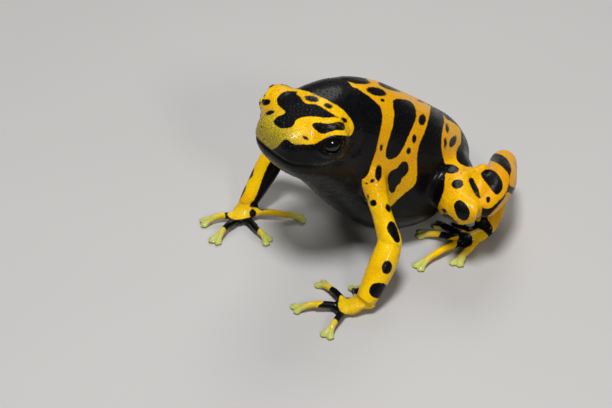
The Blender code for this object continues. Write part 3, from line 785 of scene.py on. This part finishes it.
def rounded(outline):
    """A closed outline with a smooth curve through its points."""
    p = np.array(outline, float)
    a, c, d = np.roll(p, 1, 0), np.roll(p, -1, 0), np.roll(p, -2, 0)
    rows = []
    for k in range(SPLINE_STEPS):
        t = k / SPLINE_STEPS
        rows.append(0.5 * (2 * p + (c - a) * t + (2 * a - 5 * p + 4 * c - d) * t**2
                           + (3 * p - 3 * c + d - a) * t**3))
    return np.stack(rows, 1).reshape(-1, 2)


def inside_outline(seen, outline):
    """Distance to an outline in pixels, positive inside."""
    line = rounded(outline)
    line = np.vstack([line, line[:1]])
    inside = np.zeros(len(seen), bool)
    for start, end in zip(line, line[1:]):
        crosses = (start[1] > seen[:, 1]) != (end[1] > seen[:, 1])
        rise = end[1] - start[1] if abs(end[1] - start[1]) > 1e-9 else 1e-9
        at = start[0] + (seen[:, 1] - start[1]) / rise * (end[0] - start[0])
        inside ^= crosses & (seen[:, 0] < at)
    return from_line(seen, line) * np.where(inside, 1, -1)


def inside_spot(seen, spot):
    """Distance to an ellipse in pixels, positive inside and a little wrong far from it."""
    x, y, wide, high, tilt = spot
    away = seen - (x, y)
    turn = radians(tilt)
    u = away[:, 0] * cos(turn) + away[:, 1] * sin(turn)
    v = -away[:, 0] * sin(turn) + away[:, 1] * cos(turn)
    reach = np.sqrt((u / wide)**2 + (v / high)**2)
    return (1 - reach) * min(wide, high)


def painted(points, gold, black, spots, ground=-9.0):
    """Millimetres inside the yellow for points seen by the camera, from its yellow outlines,
    the black outlines laid over them and the black spots laid over both."""
    seen, scale = seen_at(points)
    value = np.full(len(points), ground)
    for outline in gold:
        value = np.maximum(value, inside_outline(seen, outline) / scale)
    for outline in black:
        value = np.minimum(value, -inside_outline(seen, outline) / scale)
    for spot in spots:
        value = np.minimum(value, -inside_spot(seen, spot) / scale)
    return value


print("the head's outline, rounded, has", len(rounded(HEAD_GOLD)), "points")

# %% Paint what the camera sees, and the mirror image elsewhere
# Values are millimetres inside the yellow. Deeper than DEEP makes no difference.
DEEP = 2.0
FACING = (0.02, 0.25)
FAR_FACING = (-0.1, 0.1)
UNSEEN = -0.6


def both_sides(points, normals, other_points, other_normals, paint):
    """Paint seen by the camera where the skin faces it, and the mirror image's elsewhere."""
    near = eased(normals @ toward, *FACING)
    far_seen = eased(other_normals @ toward, *FAR_FACING)
    value = np.full(len(points), -DEEP)
    use = near > 0
    value[use] = paint(points[use])
    mirrored = np.full(len(points), -DEEP)
    use = near < 1
    mirrored[use] = paint(other_points[use])
    mirrored = mirrored * far_seen + UNSEEN * (1 - far_seen)
    return np.clip(value, -DEEP, DEEP) * near + np.clip(mirrored, -DEEP, DEEP) * (1 - near)


print("points that face the camera:", int((normals_of(skin.data) @ toward > FACING[1]).sum()))

# %% Paint the head and the trunk
TRUNK_GOLD = [MIDDLE_GOLD, HIP_GOLD, SHANK_GOLD]
TRUNK_BLACK = [LONG_BLACK, LOW_BLACK, HIP_BLACK, KNEE_BLACK, SHANK_BLACK]
TRUNK_SPOTS = MIDDLE_SPOTS + HIP_SPOTS_AND_CREASE_SHADE + LEFT_ARM_SPOTS[3:5]
SHOULDER_LOW = 9.0
RUMP_FROM = 8.0
RUMP_LOW = 5.4


def paint_head(p):
    """The head's markings, with no yellow below the mouth."""
    over_mouth = ((p - pivot) @ TURN - MOUTH_MIDDLE) @ (0, sin(MOUTH_TILT), cos(MOUTH_TILT))
    return np.minimum(painted(p, [HEAD_GOLD], [CROWN_BLACK, BROW_BLACK], HEAD_SPOTS), over_mouth)


def paint_trunk(p):
    """The trunk's markings, and the arm's where the shoulder belongs to the trunk."""
    shoulder = painted(p, [ARM_TOP_GOLD], [], LEFT_ARM_SPOTS[:5])
    shoulder = np.minimum(shoulder, p[:, 2] - SHOULDER_LOW)
    over_rump = np.where(p[:, 1] > RUMP_FROM, p[:, 2] - RUMP_LOW, DEEP)
    trunk = painted(p, TRUNK_GOLD, TRUNK_BLACK, TRUNK_SPOTS)
    return np.minimum(np.maximum(trunk, shoulder), over_rump)


print("the trunk has", len(TRUNK_GOLD), "yellow outlines and", len(TRUNK_BLACK), "black ones")

# %% Paint the limbs
# The outer side of the right arm isn't seen. Its black spots are balls: a middle and a radius.
LEG_GOLD = [HIP_GOLD, SHANK_GOLD, HEEL_GOLD, TARSUS_GOLD]
LEG_BLACK = [HIP_BLACK, KNEE_BLACK, SHANK_BLACK]
TOE_GOLD = [TARSUS_GOLD, FOOT_GOLD, TOE_THREE_GOLD, TOE_FOUR_GOLD, TOE_FIVE_GOLD]
RIGHT_ARM_OUT = np.array((-0.86, -0.25, 0.44))
RIGHT_ARM_BALLS = [
    (-9.9, -5.2, 11.3, 1.0), (-12.6, -5.6, 8.6, 1.1), (-13.1, -8.6, 5.6, 1.2),
    (-11.6, -11.2, 3.0, 0.95),
]
OUTER_FROM = 0.2
OUTER_SLOPE = 1.5
STRIP_SEEN = (0.0, 0.2)
LEG_LOW_HEIGHTS = (1.0, 4.0)


def paint_leg(p):
    """The markings of a hind leg down to the ankle."""
    return painted(p, LEG_GOLD, LEG_BLACK, HIP_SPOTS_AND_CREASE_SHADE)


def paint_foot(p):
    """The markings of a foot and its toes."""
    return painted(p, TOE_GOLD, [], [])


def paint_left_arm(p):
    """The left arm: yellow all round, with black spots."""
    return painted(p, [], [TEARDROP_BLACK, WRIST_BLACK], LEFT_ARM_SPOTS, ground=DEEP)


def paint_right_arm(p, n):
    """The right arm: the strip seen from the camera, and a yellow outer side with spots."""
    strip = painted(p, [RIGHT_ARM_GOLD], [], RIGHT_ARM_SPOTS)
    outer = (n @ RIGHT_ARM_OUT - OUTER_FROM) * OUTER_SLOPE
    for x, y, z, reach in RIGHT_ARM_BALLS:
        outer = np.minimum(outer, np.linalg.norm(p - (x, y, z), axis=1) - reach)
    seen = eased(n @ toward, *STRIP_SEEN)
    return np.clip(strip, -1, 1) * seen + outer * (1 - seen)


def left_twin(p):
    """The place on the left leg that a place on the right leg, which is held lower, matches."""
    twin = p * MIRROR
    twin[:, 2] += KNEE_DROP * eased(p[:, 2], *LEG_LOW_HEIGHTS)
    twin[:, 1] += LEG_BACK * eased(p[:, 2], *LEG_LOW_HEIGHTS)
    return twin


print("the legs have", len(LEG_GOLD), "yellow outlines and the feet", len(TOE_GOLD))

# %% [markdown]
# ## Colour of the fingers
# The fingers are black at their bases and yellow towards the pads, over a length that was read
# from the picture for each finger. The pads of fingers and toes are paler and greenish.

# %% Put the markings of all parts together
def markings(points, normals):
    """Millimetres inside the yellow for every point of the skin, negative in the black."""
    band = np.full(len(points), -DEEP)
    mine = of_parts("head")
    twins = twin_of(points[mine]), twin_way(normals[mine])
    band[mine] = both_sides(points[mine], normals[mine], *twins, paint_head)
    mine = of_parts("torso")
    twins = points[mine] * MIRROR, normals[mine] * MIRROR
    band[mine] = both_sides(points[mine], normals[mine], *twins, paint_trunk)
    for names, paint in (
        (("thigh_left", "shank_left", "tarsus_left"), paint_leg),
        (("thigh_right", "shank_right", "tarsus_right"), lambda p: paint_leg(left_twin(p))),
        (("foot_left",), paint_foot),
        (("foot_right",), lambda p: paint_foot(left_twin(p))),
        (("upper_arm_left", "forearm_left"), paint_left_arm),
        (("hand_left",), lambda p: painted(p, [LEFT_PALM_GOLD], [], [])),
        (("hand_right",), lambda p: painted(p, [RIGHT_ARM_GOLD], [], RIGHT_ARM_SPOTS)),
    ):
        mine = of_parts(*names)
        band[mine] = paint(points[mine])
    mine = of_parts("upper_arm_right", "forearm_right")
    band[mine] = paint_right_arm(points[mine], normals[mine])
    return np.clip(band, -DEEP, DEEP)


BROAD_NORMALS = 25
broad = spread(normals_of(skin.data), edges, BROAD_NORMALS)
band = markings(points, broad)
print("yellow points before the fingers:", int((band > 0).sum()), "of", len(band))

# %% Paint the fingers and the pads
GOLD_LENGTH = {"hand_left": (0.5, 2.1, 3.1, 1.9), "hand_right": (4.6, 1.6, 1.5, 2.4)}
DIGIT_HALF = 1.1
DIGIT_LENGTH = 6
PALE_FROM = -0.2
PALE_LENGTH = 2.3


def digit_ends(points, band):
    """The markings with the fingers' ends painted yellow, and how pale each point is."""
    pale = np.zeros(len(points))
    for name, found in pads.items():
        mine = np.nonzero(of_parts(name))[0]
        for number, (pad, back) in enumerate(found):
            away = points[mine] - pad
            along = away @ back
            aside = np.linalg.norm((away - along[:, None] * back)[:, :2], axis=1)
            near = (aside < DIGIT_HALF) & (along < DIGIT_LENGTH)
            if name in GOLD_LENGTH:
                gold = np.clip(GOLD_LENGTH[name][number] - along, -DEEP, DEEP)
                band[mine] = np.where(near, np.maximum(band[mine], gold), band[mine])
            paleness = np.where(near, 1 - eased(along, PALE_FROM, PALE_LENGTH), 0)
            pale[mine] = np.maximum(pale[mine], paleness)
    return band, pale


band, pale = digit_ends(points, band)
print("yellow points:", int((band > 0).sum()), "of", len(band))

# %% [markdown]
# ## Thin the mesh where nothing needs it
# One piece should stay under 200,000 triangles. Points are taken only from the trunk and the
# limbs, and only well inside a colour, so the borders of the markings stay crisp.

# %% Thin the mesh
MOST_TRIANGLES = 194000
BORDER_KEPT = 0.4
THINNED = (
    "torso", "thigh_left", "thigh_right", "shank_left", "shank_right",
    "upper_arm_left", "upper_arm_right", "forearm_left", "forearm_right",
)
free = skin.vertex_groups.new(name="free")
plain = of_parts(*THINNED) & (np.abs(band) > BORDER_KEPT)
free.add([int(i) for i in np.nonzero(plain)[0]], 1.0, "REPLACE")
fewer = skin.modifiers.new("fewer", "DECIMATE")
fewer.vertex_group = "free"
fewer.ratio = MOST_TRIANGLES / (2 * len(points))
applied(skin)
skin.vertex_groups.clear()
print("triangles:", sum(len(p.vertices) - 2 for p in skin.data.polygons))

# %% Paint the thinner mesh again
FEWEST_POINTS = 40
CRUMB = -0.4


def without_crumbs(band):
    """The markings without yellow patches of only a few points, which an outline's edge leaves."""
    gold = band > 0
    both = edges[gold[edges].all(1)]
    patch = np.arange(len(band))
    while True:
        lowest = np.minimum(patch[both[:, 0]], patch[both[:, 1]])
        joined = patch.copy()
        np.minimum.at(joined, both[:, 0], lowest)
        np.minimum.at(joined, both[:, 1], lowest)
        joined = joined[joined]
        if (joined == patch).all():
            break
        patch = joined
    size = np.bincount(patch[gold], minlength=len(band))
    return np.where(gold & (size[patch] < FEWEST_POINTS), CRUMB, band)


edges = edges_of(skin.data)
points = place_of(skin.data)
part = nearest_parts(points)
broad = spread(normals_of(skin.data), edges, BROAD_NORMALS)
band, pale = digit_ends(points, markings(points, broad))
band = without_crumbs(band)
print("yellow points:", int((band > 0).sum()), "of", len(band))

# %% Store the markings on the skin
TINT = {
    "head": 0.75, "torso": 0.25, "upper": 0.95, "forearm": 0.8, "hand": 0.95,
    "thigh": 0.5, "shank": 0.1, "tarsus": 0.2, "foot": 0.8,
}
GRAIN = {
    "head": 1.0, "torso": 0.8, "thigh": 0.9, "shank": 0.6, "upper": 0.5, "forearm": 0.5, "tarsus": 0.3,
}
BACK_HEIGHT = 14
FLANK_DROP = 9
SNOUT_FROM, SNOUT_TO = 11.6, 14.2
HAND_OLIVE = 0.3
BACK_TINT, FLANK_TINT = 0.15, 0.8
kinds = [name.split("_")[0] for name in flesh]
lowness = eased(BACK_HEIGHT - points[:, 2], 0, FLANK_DROP)
tint = np.array([TINT[kind] for kind in kinds])[part]
tint = np.where(of_parts("torso"), BACK_TINT + FLANK_TINT * lowness, tint)
snout = eased(-points[:, 1], SNOUT_FROM, SNOUT_TO) * of_parts("head")
snout = snout + HAND_OLIVE * of_parts("hand_left", "hand_right")
grain = np.array([GRAIN.get(kind, 0.0) for kind in kinds])[part]


def store(mesh, name, values):
    """Store one number for each point under a name that materials and nodes can read."""
    layer = mesh.attributes.new(name, "FLOAT", "POINT")
    layer.data.foreach_set("value", values.astype(np.float32))


# The numbers of each layer and how many times they are averaged with their neighbours.
LAYERS = {
    "band": (band, 2), "tint": (tint, 60), "pale": (pale, 4), "snout": (snout, 10), "grain": (grain, 30),
}
for name, (values, rounds) in LAYERS.items():
    store(skin.data, name, spread(values, edges, rounds))
print("stored on the skin:", ", ".join(LAYERS))

# %% [markdown]
# ## Nodes by script
# Every material below is a small tree of nodes. One helper adds a node with its settings and
# its inputs, and one turns the hex codes that people write for colours into the linear numbers
# that a shader works with.

# %% Helpers for nodes
PER_METRE = 1000.0


def linear(code):
    """A colour written as sRGB hex, as the linear numbers that shaders use."""
    shares = [int(code[i:i + 2], 16) / 255 for i in (1, 3, 5)]
    return (*[v / 12.92 if v <= 0.04045 else ((v + 0.055) / 1.055)**2.4 for v in shares], 1.0)


def add(tree, kind, inputs=(), **settings):
    """A node of a kind, with its settings, and its inputs as values or as links."""
    node = tree.nodes.new(kind)
    for key, value in settings.items():
        setattr(node, key, value)
    for key, value in dict(inputs).items():
        if isinstance(value, bpy.types.NodeSocket):
            tree.links.new(value, node.inputs[key])
        else:
            node.inputs[key].default_value = value
    return node


def new_material(name, settings):
    """A new material, its tree of nodes and its main shader, with values for its sockets."""
    material = bpy.data.materials.new(name)
    material.use_nodes = True
    shader = material.node_tree.nodes["Principled BSDF"]
    for key, value in settings.items():
        shader.inputs[key].default_value = value
    return material, material.node_tree, shader


print("gold in linear numbers:", [round(v, 3) for v in linear("#F0C608")])

# %% [markdown]
# ## Wet frog skin
# The real skin is living epidermis over yellow and black pigment cells, kept wet by mucus. The
# surface grew, it wasn't polished: fine granules about 0.3 mm wide cover it, and the film of
# water on top gives small sharp glints over a softer sheen. Skin has an IOR near 1.4 and water
# 1.33, so the base is fairly rough and a thin clear coat does the glinting. The yellow isn't
# one colour: it is orange on the upper back, lemon on the arms, olive on the snout and pale
# green on the pads. The border of a marking wavers a little, as pigment cells do.

# %% The colours of the skin
# Real granules are about 0.1 to 0.3 mm wide. They are drawn at the coarse end, to cost fewer triangles.
GRANULE_WIDTH = 0.3
PATCH_WIDTH = 2.6
wet_skin, tree, shader = new_material("wet_frog_skin", {
    "IOR": 1.4, "Specular IOR Level": 0.13,
    "Coat Weight": 0.28, "Coat IOR": 1.33, "Coat Roughness": 0.07,
})
where = add(tree, "ShaderNodeTexCoord").outputs["Object"]
stored = {}
for name in LAYERS:
    stored[name] = add(tree, "ShaderNodeAttribute", attribute_name=name).outputs["Fac"]
patches = add(tree, "ShaderNodeTexNoise", {
    "Vector": where, "Scale": PER_METRE / PATCH_WIDTH, "Detail": 4.0, "Roughness": 0.6,
}).outputs["Fac"]
warmth = add(tree, "ShaderNodeMapRange", {
    "Value": patches, "From Min": 0.42, "From Max": 0.7, "To Max": 0.45,
}, interpolation_type="SMOOTHSTEP").outputs["Result"]
olive = add(tree, "ShaderNodeMath", {0: stored["snout"], 1: 0.8}, operation="MULTIPLY").outputs[0]
gold = linear("#DE9C02")
for share, colour in (
    (stored["tint"], "#F2C604"), (warmth, "#D08200"), (olive, "#A39A2C"), (stored["pale"], "#B7BC62"),
):
    gold = add(tree, "ShaderNodeMix", {0: share, 6: gold, 7: linear(colour)}, data_type="RGBA").outputs[2]
print("gold has", len(tree.nodes), "nodes so far")

# %% The net between the granules, the border and the black
BORDER_WAVER_WIDTH = 0.4
BORDER_WAVER = 0.16
BLACK = linear("#070608")
net = add(tree, "ShaderNodeTexVoronoi", {
    "Vector": where, "Scale": PER_METRE / GRANULE_WIDTH,
}, feature="DISTANCE_TO_EDGE").outputs["Distance"]
for name, reach, strength, colour in (("grain", 0.16, 0.4, "#8C5E04"), ("snout", 0.2, 0.55, "#4A4A0E")):
    groove = add(tree, "ShaderNodeMapRange", {
        "Value": net, "From Max": reach, "To Min": strength, "To Max": 0.0,
    }, interpolation_type="SMOOTHSTEP").outputs["Result"]
    share = add(tree, "ShaderNodeMath", {0: groove, 1: stored[name]}, operation="MULTIPLY").outputs[0]
    gold = add(tree, "ShaderNodeMix", {0: share, 6: gold, 7: linear(colour)}, data_type="RGBA").outputs[2]
waver = add(tree, "ShaderNodeTexNoise", {
    "Vector": where, "Scale": PER_METRE / BORDER_WAVER_WIDTH, "Detail": 2.0,
}).outputs["Fac"]
shift = add(tree, "ShaderNodeMath", {
    0: waver, 1: BORDER_WAVER, 2: -BORDER_WAVER / 2,
}, operation="MULTIPLY_ADD").outputs[0]
inside = add(tree, "ShaderNodeMath", {0: stored["band"], 1: shift}, operation="ADD").outputs[0]
yellow = add(tree, "ShaderNodeMapRange", {
    "Value": inside, "From Min": -0.05, "From Max": 0.07,
}, interpolation_type="SMOOTHSTEP").outputs["Result"]
colour = add(tree, "ShaderNodeMix", {0: yellow, 6: BLACK, 7: gold}, data_type="RGBA").outputs[2]
tree.links.new(colour, shader.inputs["Base Color"])
print("skin colour has", len(tree.nodes), "nodes")

# %% The wet film and the fine relief
SHEEN_WIDTH = 1.1
RELIEF_HEIGHT = 0.05
wetness = add(tree, "ShaderNodeTexNoise", {
    "Vector": where, "Scale": PER_METRE / SHEEN_WIDTH, "Detail": 3.0,
}).outputs["Fac"]
roughness = add(tree, "ShaderNodeMapRange", {
    "Value": wetness, "From Min": 0.35, "From Max": 0.7, "To Min": 0.3, "To Max": 0.48,
}, interpolation_type="SMOOTHSTEP").outputs["Result"]
granules = add(tree, "ShaderNodeTexVoronoi", {
    "Vector": where, "Scale": PER_METRE / GRANULE_WIDTH,
}, feature="SMOOTH_F1").outputs["Distance"]
relief = add(tree, "ShaderNodeBump", {
    "Height": granules, "Strength": 0.35, "Distance": RELIEF_HEIGHT * MM,
}, invert=True).outputs[0]
for name, value in (("Roughness", roughness), ("Normal", relief), ("Coat Normal", relief)):
    tree.links.new(value, shader.inputs[name])
skin.data.materials.clear()
skin.data.materials.append(wet_skin)
skin.data.shade_smooth()
print("wet skin:", len(tree.nodes), "nodes,", len(tree.links), "links")

# %% [markdown]
# ## Granules
# The skin of the back, the flanks and the thighs carries low round granules that catch the
# light one by one. They repeat over the whole surface, so Geometry Nodes set them: points are
# spread over the skin at a least distance, each gets a low dome that stands along the skin's
# normal, and the markings are read again from the skin below, so a dome on a border has both
# colours. The domes are real geometry, sunk deep enough that only a gentle cap shows.

# %% Build the tree that sets the granules
MOST_PER_SQUARE_METRE = 2.5e7
DOME_SEGMENTS, DOME_RINGS = 8, 4
DOME_SINK = 0.6
DOME_SIZES = (0.7, 1.25)


def granule_tree():
    """Nodes that set low domes over a mesh, more closely where its grain is strong."""
    tree = bpy.data.node_groups.new("skin_granules", "GeometryNodeTree")
    for name, kind in (
        ("Skin", "NodeSocketGeometry"), ("Spacing", "NodeSocketFloat"), ("Width", "NodeSocketFloat"),
        ("Height", "NodeSocketFloat"), ("Seed", "NodeSocketInt"), ("Finish", "NodeSocketMaterial"),
    ):
        tree.interface.new_socket(name, in_out="INPUT", socket_type=kind)
    tree.interface.new_socket("Granules", in_out="OUTPUT", socket_type="NodeSocketGeometry")
    given = add(tree, "NodeGroupInput").outputs
    grain = add(tree, "GeometryNodeInputNamedAttribute", {"Name": "granular"}, data_type="FLOAT").outputs[0]
    spots = add(tree, "GeometryNodeDistributePointsOnFaces", {
        "Mesh": given["Skin"], "Distance Min": given["Spacing"], "Density Max": MOST_PER_SQUARE_METRE,
        "Density Factor": grain, "Seed": given["Seed"],
    }, distribute_method="POISSON").outputs
    half = add(tree, "ShaderNodeMath", {0: given["Width"], 1: 0.5}, operation="MULTIPLY").outputs[0]
    ball = add(tree, "GeometryNodeMeshUVSphere", {
        "Segments": DOME_SEGMENTS, "Rings": DOME_RINGS, "Radius": half,
    }).outputs["Mesh"]
    flat = add(tree, "ShaderNodeMath", {0: given["Height"], 1: half}, operation="DIVIDE").outputs[0]
    shape = add(tree, "ShaderNodeCombineXYZ", {"X": 1.0, "Y": 1.0, "Z": flat}).outputs[0]
    sunk = add(tree, "ShaderNodeMath", {0: given["Height"], 1: -DOME_SINK}, operation="MULTIPLY").outputs[0]
    down = add(tree, "ShaderNodeCombineXYZ", {"Z": sunk}).outputs[0]
    dome = add(tree, "GeometryNodeTransform", {
        "Geometry": ball, "Scale": shape, "Translation": down,
    }).outputs[0]
    size = add(tree, "FunctionNodeRandomValue", {
        "Min": DOME_SIZES[0], "Max": DOME_SIZES[1], "Seed": given["Seed"],
    }, data_type="FLOAT").outputs
    domes = add(tree, "GeometryNodeInstanceOnPoints", {
        "Points": spots["Points"], "Instance": dome, "Rotation": spots["Rotation"],
        "Scale": next(socket for socket in size if socket.type == "VALUE"),
    }).outputs[0]
    found = add(tree, "GeometryNodeRealizeInstances", {"Geometry": domes}).outputs[0]
    for name in LAYERS:
        below = add(tree, "GeometryNodeInputNamedAttribute", {"Name": name}, data_type="FLOAT").outputs[0]
        read = add(tree, "GeometryNodeSampleNearestSurface", {
            "Mesh": given["Skin"], "Value": below,
        }, data_type="FLOAT").outputs[0]
        found = add(tree, "GeometryNodeStoreNamedAttribute", {
            "Geometry": found, "Name": name, "Value": read,
        }, data_type="FLOAT", domain="POINT").outputs[0]
    smooth = add(tree, "GeometryNodeSetShadeSmooth", {"Geometry": found}).outputs[0]
    finished = add(tree, "GeometryNodeSetMaterial", {
        "Geometry": smooth, "Material": given["Finish"],
    }).outputs[0]
    add(tree, "NodeGroupOutput", {"Granules": finished})
    return tree


granule_maker = granule_tree()
print("granule tree:", len(granule_maker.nodes), "nodes")

# %% Set the granules over the head, the trunk and the legs
# Real granules touch each other. Here they stand apart, again to cost fewer triangles.
GRANULE_SPACING = 0.42
GRANULE_HEIGHT = 0.05
GRANULE_SEED = 7
FADE_ROUNDS = 6
FADE_HEIGHTS = (1.0, 2.0)
COVERED = {
    "granules_head": ("head",),
    "granules_trunk": ("torso",),
    "granules_legs": ("thigh_left", "thigh_right", "shank_left", "shank_right"),
}


def granules_on(name, parts):
    """A mesh of granules over some parts of the skin."""
    obj = bpy.data.objects.new(name, skin.data.copy())
    bpy.context.scene.collection.objects.link(obj)
    mask = spread(of_parts(*parts).astype(float), edges, FADE_ROUNDS)
    store(obj.data, "granular", mask * eased(points[:, 2], *FADE_HEIGHTS))
    change = obj.modifiers.new("granules", "NODES")
    change.node_group = granule_maker
    inputs = {s.name: s.identifier for s in granule_maker.interface.items_tree if s.in_out == "INPUT"}
    for socket, value in (
        ("Spacing", GRANULE_SPACING * MM), ("Width", GRANULE_WIDTH * MM), ("Height", GRANULE_HEIGHT * MM),
        ("Seed", GRANULE_SEED), ("Finish", wet_skin),
    ):
        change[inputs[socket]] = value
    applied(obj)
    print(name, "has", sum(len(p.vertices) - 2 for p in obj.data.polygons), "triangles")
    return obj


granule_pieces = [granules_on(name, parts) for name, parts in COVERED.items()]
for piece in (skin, *granule_pieces):
    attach(piece, "root")
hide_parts(*flesh)

# %% [markdown]
# ## Eyes
# The eye is a ball with a clear cornea that bulges a little over a dark brown iris and a wide
# black pupil. The cornea is wet and smooth, with an IOR of 1.38, and it mirrors the lamps
# sharply. Iris and pupil are painted by the angle from the way the eye looks, which is stored
# on each point, so they stay in place when the frog is seen from elsewhere.

# %% The wet eye
PUPIL_EDGE = (0.46, 0.54)
FLECK_WIDTH = 0.12
wet_eye, tree, shader = new_material("wet_eye", {
    "IOR": 1.38, "Roughness": 0.06, "Coat Weight": 1.0, "Coat IOR": 1.33, "Coat Roughness": 0.02,
})
where = add(tree, "ShaderNodeTexCoord").outputs["Object"]
gaze = add(tree, "ShaderNodeAttribute", attribute_name="gaze").outputs["Fac"]
flecks = add(tree, "ShaderNodeTexNoise", {"Vector": where, "Scale": PER_METRE / FLECK_WIDTH}).outputs["Fac"]
light_fleck = add(tree, "ShaderNodeMapRange", {
    "Value": flecks, "From Min": 0.4, "From Max": 0.65,
}, interpolation_type="SMOOTHSTEP").outputs["Result"]
iris = add(tree, "ShaderNodeMix", {
    0: light_fleck, 6: linear("#120C08"), 7: linear("#33210C"),
}, data_type="RGBA").outputs[2]
past_pupil = add(tree, "ShaderNodeMapRange", {
    "Value": gaze, "From Min": PUPIL_EDGE[0], "From Max": PUPIL_EDGE[1],
}, interpolation_type="SMOOTHSTEP").outputs["Result"]
colour = add(tree, "ShaderNodeMix", {
    0: past_pupil, 6: linear("#020203"), 7: iris,
}, data_type="RGBA").outputs[2]
tree.links.new(colour, shader.inputs["Base Color"])
print("wet eye:", len(tree.nodes), "nodes")

# %% Turn the eyeballs and set them in
EYEBALL = 1.88
CORNEA = 0.045
CORNEA_ANGLES = (0.25, 0.8)
LOOK_UP = 0.22
for word, (centre, look, slide) in eyes.items():
    gaze_way = look + LOOK_UP * slide
    gaze_way /= np.linalg.norm(gaze_way)
    bm = bmesh.new()
    bmesh.ops.create_uvsphere(bm, u_segments=64, v_segments=48, radius=EYEBALL * MM)
    ball = object_of(bm, f"eyeball_{word}")
    round_ball = place_of(ball.data)
    angle = np.arccos(np.clip(round_ball @ gaze_way / EYEBALL, -1, 1))
    bulge = 1 + CORNEA * (1 - eased(angle, *CORNEA_ANGLES))
    move_to(ball.data, centre + round_ball * bulge[:, None])
    store(ball.data, "gaze", angle)
    ball.data.shade_smooth()
    ball.data.materials.append(wet_eye)
    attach(ball, "root")
    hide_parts(f"eye_{word}")
    print(ball.name, "looks along", [round(float(v), 2) for v in gaze_way])

# %% [markdown]
# ## Floor and light
# The frog stands on a plain pale board, matt as emulsion paint is. The picture was lit from
# above, so the main lamp is a round softbox overhead, a little to the camera's side. A weak
# one stands beside the camera, to its right, and a broad faint one is behind the frog. A little
# grey from all round keeps the black skin readable.

# %% The floor
FLOOR_HALF = 0.6
MOTTLE_WIDTH = 40.0
painted_board, tree, shader = new_material("matt_painted_board", {"Roughness": 0.75})
where = add(tree, "ShaderNodeTexCoord").outputs["Object"]
mottle = add(tree, "ShaderNodeTexNoise", {"Vector": where, "Scale": PER_METRE / MOTTLE_WIDTH}).outputs["Fac"]
colour = add(tree, "ShaderNodeMix", {
    0: mottle, 6: linear("#B1AFAB"), 7: linear("#B7B5B1"),
}, data_type="RGBA").outputs[2]
tree.links.new(colour, shader.inputs["Base Color"])
bm = bmesh.new()
bmesh.ops.create_grid(bm, x_segments=1, y_segments=1, size=FLOOR_HALF)
floor = object_of(bm, "floor")
floor.data.materials.append(painted_board)
print("floor:", 2 * FLOOR_HALF, "m wide")

# %% The lamps
# Each has its place and its width in metres, its power in watts and its colour.
LAMPS = {
    "overhead": ((0.07, -0.08, 0.36), 0.09, 1.32, "#FAFBFF"),
    "front": ((0.28, -0.06, 0.2), 0.06, 0.25, "#FFFFFF"),
    "behind": ((-0.2, 0.2, 0.32), 0.22, 0.5, "#FFFFFF"),
}
AIM = Vector((0, 0, 0.01))
for name, (place, size, power, colour) in LAMPS.items():
    light = bpy.data.lights.new(name, "AREA")
    light.shape = "DISK"
    light.energy = power
    light.size = size
    light.color = linear(colour)[:3]
    lamp = bpy.data.objects.new(name, light)
    lamp.location = place
    lamp.rotation_euler = (AIM - Vector(place)).to_track_quat("-Z", "Y").to_euler()
    bpy.context.scene.collection.objects.link(lamp)
    print(name, "lamp:", power, "W")

# %% The grey all round
world = bpy.data.worlds.new("studio")
bpy.context.scene.world = world
world.use_nodes = True
background = world.node_tree.nodes["Background"]
background.inputs["Color"].default_value = linear("#E7E7E7")
background.inputs["Strength"].default_value = 0.11
bpy.context.scene.view_settings.view_transform = "Standard"
print("world strength:", round(background.inputs["Strength"].default_value, 2))
